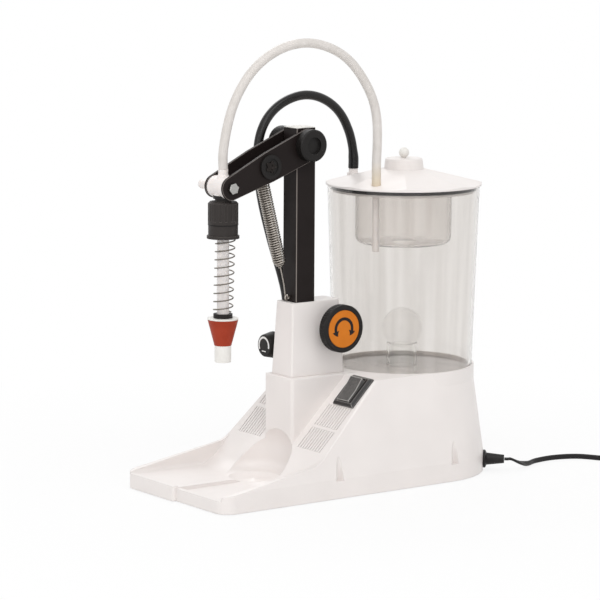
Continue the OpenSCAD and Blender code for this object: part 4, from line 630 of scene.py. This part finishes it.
# The pale edge tones of the grip, the switch frame and the rocker below are painted highlights.
nylon_grip = moulded("black nylon, ribbed grip", "#35302E", "#2D2927", rough=0.5, edge_mm=0.7,
                     grain_mm=0.6, depth_mm=0.05, edge_highlight="#56504C", IOR=1.53, Specular_IOR_Level=0.22)
switch_black = moulded("black polycarbonate, satin", "#262424", "#1F1D1D", rough=0.4, edge_mm=1.8,
                       grain_mm=0.5, depth_mm=0.03, edge_highlight="#A8A4A0", IOR=1.58, Specular_IOR_Level=0.3)
rocker_grey = moulded("grey polycarbonate, coarse spark texture", "#676563", "#343332", rough=0.5,
                      edge_mm=1.8, grain_mm=0.9, depth_mm=0.12, patch_mm=1.6, edge_highlight="#C4C0BC", IOR=1.58)
rubber_black = moulded("black EPDM rubber", "#1E1C1C", "#171515", rough=0.42, grain_mm=0.8, depth_mm=0.02,
                       IOR=1.5, Specular_IOR_Level=0.25)
seal_black = moulded("black nitrile rubber, wet", "#0C0B0B", "#080707", rough=0.3, patch_mm=20, IOR=1.5,
                     Specular_IOR_Level=0.2)
vinyl_black = moulded("black vinyl hose, extruded", "#151312", "#100E0E", rough=0.24, IOR=1.53,
                      Specular_IOR_Level=0.3)
print("black plastics and rubber made")

# %% Coloured rubber and prints
silicone_red = moulded("red silicone", "#A33B23", "#98331B", rough=0.42, edge_mm=0.4, grain_mm=0.8,
                       depth_mm=0.02, patch_mm=14, IOR=1.41, Specular_IOR_Level=0.25)
orange_print = moulded("orange printed disc", "#D67A1E", "#CD7317", rough=0.4, edge_mm=0.3, patch_mm=20,
                       IOR=1.5, Specular_IOR_Level=0.2)
black_print = moulded("black printed ink", "#211E1E", "#1B1818", rough=0.5, patch_mm=8, IOR=1.5,
                      Specular_IOR_Level=0.2)
white_print = moulded("white printed ink", "#F0EEEC", "#E6E4E2", rough=0.45, patch_mm=8, IOR=1.5)
print("coloured rubber and prints made")


# %% [markdown]
# ### Clear plastics
# The vessel is clear SAN, a few millimetres thick, and the float ball is a thin blown shell. Light that comes
# from the lamps goes straight through a clear wall, so for shadow rays the wall is a plain tinted film. The
# vessel's floor is seen through the wall as well, so it gets less tint. The upright streaks in the vessel's
# tint are painted reflections of soft bands of light. The hose is clear vinyl, a little milky, and yellowed
# near the lid.

# %% Clear plastic
def lets_lamps_through(tree, shader, tint):
    """Mixes in a plain film where the ray is a shadow ray, so that what stands behind the wall is lit."""
    film = add(tree, "ShaderNodeBsdfTransparent", {"Color": tint})
    shadow = add(tree, "ShaderNodeLightPath").outputs["Is Shadow Ray"]
    mixed = add(tree, "ShaderNodeMixShader", {0: shadow, 1: shader.outputs[0], 2: film.outputs[0]})
    tree.links.new(mixed.outputs[0], tree.nodes["Material Output"].inputs["Surface"])


def clear(name, light, dark, film, transmission, rough, streak_mm, stretch, **sockets):
    """Clear plastic: light goes through it, and faint streaks vary its tint; on the vessel they are painted
    reflections.
    """
    material, tree, shader = start(name, Transmission_Weight=transmission, Roughness=rough, **sockets)
    colour = two_tone(tree, mottle(tree, streak_mm, detail=2, stretch=stretch), light, dark)
    tree.links.new(colour, shader.inputs["Base Color"])
    lets_lamps_through(tree, shader, film)
    return material, tree, shader, colour


ALONG_Z, EVEN = (1, 1, 40), (1, 1, 1)
ball_clear = clear("clear SAN, thin blown shell", "#F6F5F4", "#EFEEED", film="#FFFFFF", transmission=1.0,
                   rough=0.04, streak_mm=20, stretch=EVEN, IOR=1.04)[0]
cup_frosted = clear("frosted polypropylene", "#FFFEFD", "#F8F5F3", film="#FFFFFF", transmission=0.95,
                    rough=0.24, streak_mm=10, stretch=ALONG_Z, IOR=1.1)[0]
print("ball and cup finishes made")

# %% Vessel
FLOOR_R, WALL_R = 58 * MM, 64 * MM
# The vessel's upright streaks, light and dark tint drawn out along Z, are painted reflections of soft bands
# of light.
san_clear, tree, shader, colour = clear("clear SAN, injection moulded", "#F6F4F2", "#E7E4E1", film="#FFFFFF",
                                        transmission=0.97, rough=0.05, streak_mm=14, stretch=ALONG_Z, IOR=1.3)
vessel_lo, vessel_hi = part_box("vessel")
vessel_x = (vessel_lo.x + vessel_hi.x) / 2
place = add(tree, "ShaderNodeTexCoord").outputs["Object"]
level = add(tree, "ShaderNodeMapping", {"Vector": place, "Location": (-vessel_x, 0, 0), "Scale": (1, 1, 0)})
from_axis = add(tree, "ShaderNodeVectorMath", {0: level.outputs[0]}, operation="LENGTH").outputs["Value"]
with_floor = two_tone(tree, from_axis, "#FDFDFC", colour, FLOOR_R, WALL_R)
tree.links.new(with_floor, shader.inputs["Base Color"])
print("vessel finish made, its axis at x =", round(vessel_x, 4), "m")

# %% Clear hose finish
HOSE = dict(light="#E3DEDA", dark="#DBD6D1", film="#F4F2F0", transmission=0.14, rough=0.3, streak_mm=9,
            stretch=EVEN, IOR=1.36)
AGED_FROM, AGED_TO = 327 * MM, 352 * MM
vinyl_clear = clear("clear vinyl hose", **HOSE)[0]
vinyl_aged, tree, shader, colour = clear("clear vinyl hose, yellowed end", **HOSE)
place = add(tree, "ShaderNodeTexCoord").outputs["Object"]
height = add(tree, "ShaderNodeSeparateXYZ", {0: place}).outputs["Z"]
aged = two_tone(tree, height, "#E4D6BF", colour, AGED_FROM, AGED_TO)
tree.links.new(aged, shader.inputs["Base Color"])
print("hose yellowed below", round(AGED_TO, 3), "m")

# %% [markdown]
# ### Metals
# The column and the arm are steel with a black powder coat, which dries with a faint orange peel. A pale
# tone along its edges and corners is a painted highlight. Springs and screws are drawn steel wire and zinc
# plate: bare metal with fine streaks along the draw. The pin's washer is blued, and the pump's parts are
# cast.

# %% Powder coat
POWDER = dict(light="#221C1B", dark="#1D1716", rough=0.42, grain_mm=0.9, depth_mm=0.02, IOR=1.5,
              Specular_IOR_Level=0.12)
CORNER_HIGHLIGHT_FROM, CORNER_HIGHLIGHT_TO = 0.97, 0.8
# The arm's pale edge tone is a painted highlight.
powder_black = moulded("black powder coat on steel", edge_mm=1.4, edge_highlight="#7E7672", **POWDER)
tube_black = moulded("black powder coat on square tube", **POWDER)
# The tube's corners are round in its mesh, so they are found by the normal: there it leaves all three axes.
# Their pale tone is a painted highlight.
tree = tube_black.node_tree
shader = tree.nodes["Principled BSDF"]
normal = add(tree, "ShaderNodeTexCoord").outputs["Normal"]
facing = add(tree, "ShaderNodeVectorMath", {0: normal}, operation="ABSOLUTE").outputs[0]
sides = add(tree, "ShaderNodeSeparateXYZ", {0: facing}).outputs
squarest = sides["X"]
for other in ("Y", "Z"):
    squarest = add(tree, "ShaderNodeMath", {0: squarest, 1: sides[other]}, operation="MAXIMUM").outputs[0]
coat = shader.inputs["Base Color"].links[0].from_socket
# Painted highlight: the corners fade to a pale tone.
tree.links.new(two_tone(tree, squarest, coat, "#8C847F", CORNER_HIGHLIGHT_FROM, CORNER_HIGHLIGHT_TO), shader.inputs["Base Color"])
print("powder coats made")

# %% Bare metal
METAL_SPREAD, STREAK_STRENGTH, STREAK_DEPTH = 0.3, 0.3, 0.02 * MM
# A curl of wire lies almost level, so its streaks are drawn out sideways.
LEVEL, ALONG_Y = (4, 4, 1), (1, 3, 1)


def bare_metal(name, light, dark, rough, streak_mm, stretch):
    """Bare metal: its colour is its reflection, and the streaks change how sharp that is."""
    material, tree, shader = start(name, Metallic=1.0)
    streaks = mottle(tree, streak_mm, stretch=stretch)
    tree.links.new(two_tone(tree, streaks, light, dark), shader.inputs["Base Color"])
    uneven_gloss(tree, shader, streaks, rough, METAL_SPREAD)
    scored = {"Height": streaks, "Strength": STREAK_STRENGTH, "Distance": STREAK_DEPTH}
    tree.links.new(add(tree, "ShaderNodeBump", scored).outputs["Normal"], shader.inputs["Normal"])
    return material


spring_steel = bare_metal("drawn spring steel", "#B9B2AA", "#8F8982", rough=0.28, streak_mm=0.6,
                          stretch=LEVEL)
oiled_steel = bare_metal("drawn spring steel, oiled", "#8E877F", "#645F59", rough=0.3, streak_mm=0.6,
                         stretch=LEVEL)
zinc_plate = bare_metal("zinc-plated steel", "#B9B8B5", "#9F9E9B", rough=0.24, streak_mm=0.8, stretch=ALONG_Y)
blued_steel = bare_metal("blued spring steel", "#3A3634", "#1E1C1B", rough=0.14, streak_mm=0.7, stretch=EVEN)
cast_metal = bare_metal("die-cast aluminium", "#A6A8AA", "#8E9092", rough=0.5, streak_mm=1.5, stretch=EVEN)
print("bare metals made")

# %% Give every node its finish
FINISHES = {
    abs_white: "base_shell column_tower lid",
    powder_black: "arm_plate_near arm_plate_far",
    tube_black: "column_tube",
    nylon_black: "bottom_plate regulator_body regulator_knob brake_shoe clamp_knob pivot_bushes "
                 "pivot_cap_near pivot_cap_far spring_pin spring_pin_nut cone_ring coil_tie mains_plug",
    nylon_grip: "grip_nut collar",
    switch_black: "switch_frame",
    rocker_grey: "switch_rocker",
    zinc_plate: "bottom_screws clamp_shaft pivot_shaft tee_bolt",
    spring_steel: "spring_hook spring_eye",
    polypropylene: "tee_body fill_tube return_tube dip_pipe",
    acetal_white: "column_cap nozzle_tip cone_disc vent_knob",
    cup_frosted: "splash_cup",
    san_clear: "vessel",
    ball_clear: "float_ball",
    silicone_red: "seal_cone",
    rubber_black: "rubber_feet pump_mounts pump_hose mains_gland",
    seal_black: "lid_seal",
    orange_print: "clamp_knob_disc",
    cast_metal: "pump_head pump_motor",
}
for finish, names in FINISHES.items():
    for name in names.split():
        nodes[name].data.materials.clear()
        nodes[name].data.materials.append(finish)
print("nodes finished:", sum(len(names.split()) for names in FINISHES.values()))

# %% Give every new piece its finish
PIECE_FINISHES = {
    vinyl_clear: clear_pieces[:-1],
    vinyl_aged: clear_pieces[-1:],
    vinyl_black: [black_hose],
    rubber_black: [mains_lead, neck_sleeve],
    # The ring below the grip is painted shade.
    seal_black: [grip_gap_shade],
    spring_steel: [arm_spring],
    oiled_steel: [nozzle_spring],
    zinc_plate: [tee_screw],
    blued_steel: [pin_washer],
    white_print: [dial_arc, dial_bar],
    black_print: [turning_arrow],
}
for finish, pieces in PIECE_FINISHES.items():
    for piece in pieces:
        piece.data.materials.append(finish)
print("pieces finished:", sum(len(pieces) for pieces in PIECE_FINISHES.values()))

# %% [markdown]
# ## Stage
# A pale floor and large soft lamps, as in a product photograph. The camera, mirrors and clear plastic see a
# white background, while the light on the object stays at a plain level. The floor keeps a soft shadow near
# the object and fades to white further out. A tall, narrow lamp beside the camera gives the clear vessel a
# faint upright highlight.

# %% Floor
FLOOR_SIZE = 12
FLOOR_WHITE, FADE_FROM, FADE_TO = 0.84, 0.3, 0.7
WHITE = (1, 1, 1, 1)


def seen_directly(tree):
    """1 for what the camera sees, straight, in a mirror or through clear plastic, 0 for light on surfaces."""
    light_path = add(tree, "ShaderNodeLightPath").outputs
    seen = light_path["Is Camera Ray"]
    for other in ("Is Glossy Ray", "Is Transmission Ray"):
        seen = add(tree, "ShaderNodeMath", {0: seen, 1: light_path[other]}, operation="MAXIMUM").outputs[0]
    return seen


half = FLOOR_SIZE / 2
corners = [(-half, -half, 0), (half, -half, 0), (half, half, 0), (-half, half, 0)]
floor = mesh_piece("floor", corners, [(0, 1, 2, 3)])
floor_material, tree, shader = start("pale floor", Base_Color=linear("#F2F2F2"), Roughness=0.9)
glow = add(tree, "ShaderNodeEmission", {"Color": WHITE, "Strength": 1.0})
place = add(tree, "ShaderNodeTexCoord").outputs["Object"]
away = add(tree, "ShaderNodeVectorMath", {0: place}, operation="LENGTH").outputs["Value"]
fade = {"Value": away, "From Min": FADE_FROM, "From Max": FADE_TO, "To Min": FLOOR_WHITE, "To Max": 1}
whiter = add(tree, "ShaderNodeMapRange", fade).outputs["Result"]
share = add(tree, "ShaderNodeMath", {0: seen_directly(tree), 1: whiter}, operation="MULTIPLY").outputs[0]
mixed = add(tree, "ShaderNodeMixShader", {0: share, 1: shader.outputs[0], 2: glow.outputs[0]})
tree.links.new(mixed.outputs[0], tree.nodes["Material Output"].inputs["Surface"])
floor.data.materials.append(floor_material)
print("floor:", FLOOR_SIZE, "m, white from", FADE_TO, "m out")

# %% World
AMBIENT = 0.7
world = bpy.data.worlds.new("studio")
world.use_nodes = True
scene.world = world
tree = world.node_tree
soft = add(tree, "ShaderNodeBackground", {"Color": WHITE, "Strength": AMBIENT})
white = add(tree, "ShaderNodeBackground", {"Color": WHITE, "Strength": 1.0})
mixed = add(tree, "ShaderNodeMixShader", {0: seen_directly(tree), 1: soft.outputs[0], 2: white.outputs[0]})
tree.links.new(mixed.outputs[0], tree.nodes["World Output"].inputs["Surface"])
print("ambient light:", AMBIENT)

# %% Lamps: name, place and size in metres, watts
LAMPS = [
    ("key", (-0.5, -1.3, 2.5), (1.8, 1.8), 19),
    ("fill", (-2.2, -0.9, 1.6), (1.6, 1.6), 11),
    ("back", (0.6, 2.0, 2.0), (1.6, 1.6), 12),
    ("strip", (-1.12, -2.29, 0.9), (0.2, 1.6), 3),
]
LAMP_TARGET = Vector((0, 0, 0.2))
for name, place, size, watts in LAMPS:
    lamp = bpy.data.objects.new(name, bpy.data.lights.new(name, "AREA"))
    lamp.data.shape = "RECTANGLE"
    lamp.data.size, lamp.data.size_y = size
    lamp.data.energy = watts
    aim = (LAMP_TARGET - Vector(place)).to_track_quat("-Z", "Y").to_matrix().to_4x4()
    lamp.matrix_world = Matrix.Translation(place) @ aim
    scene.collection.objects.link(lamp)
print("lamps:", len(LAMPS))
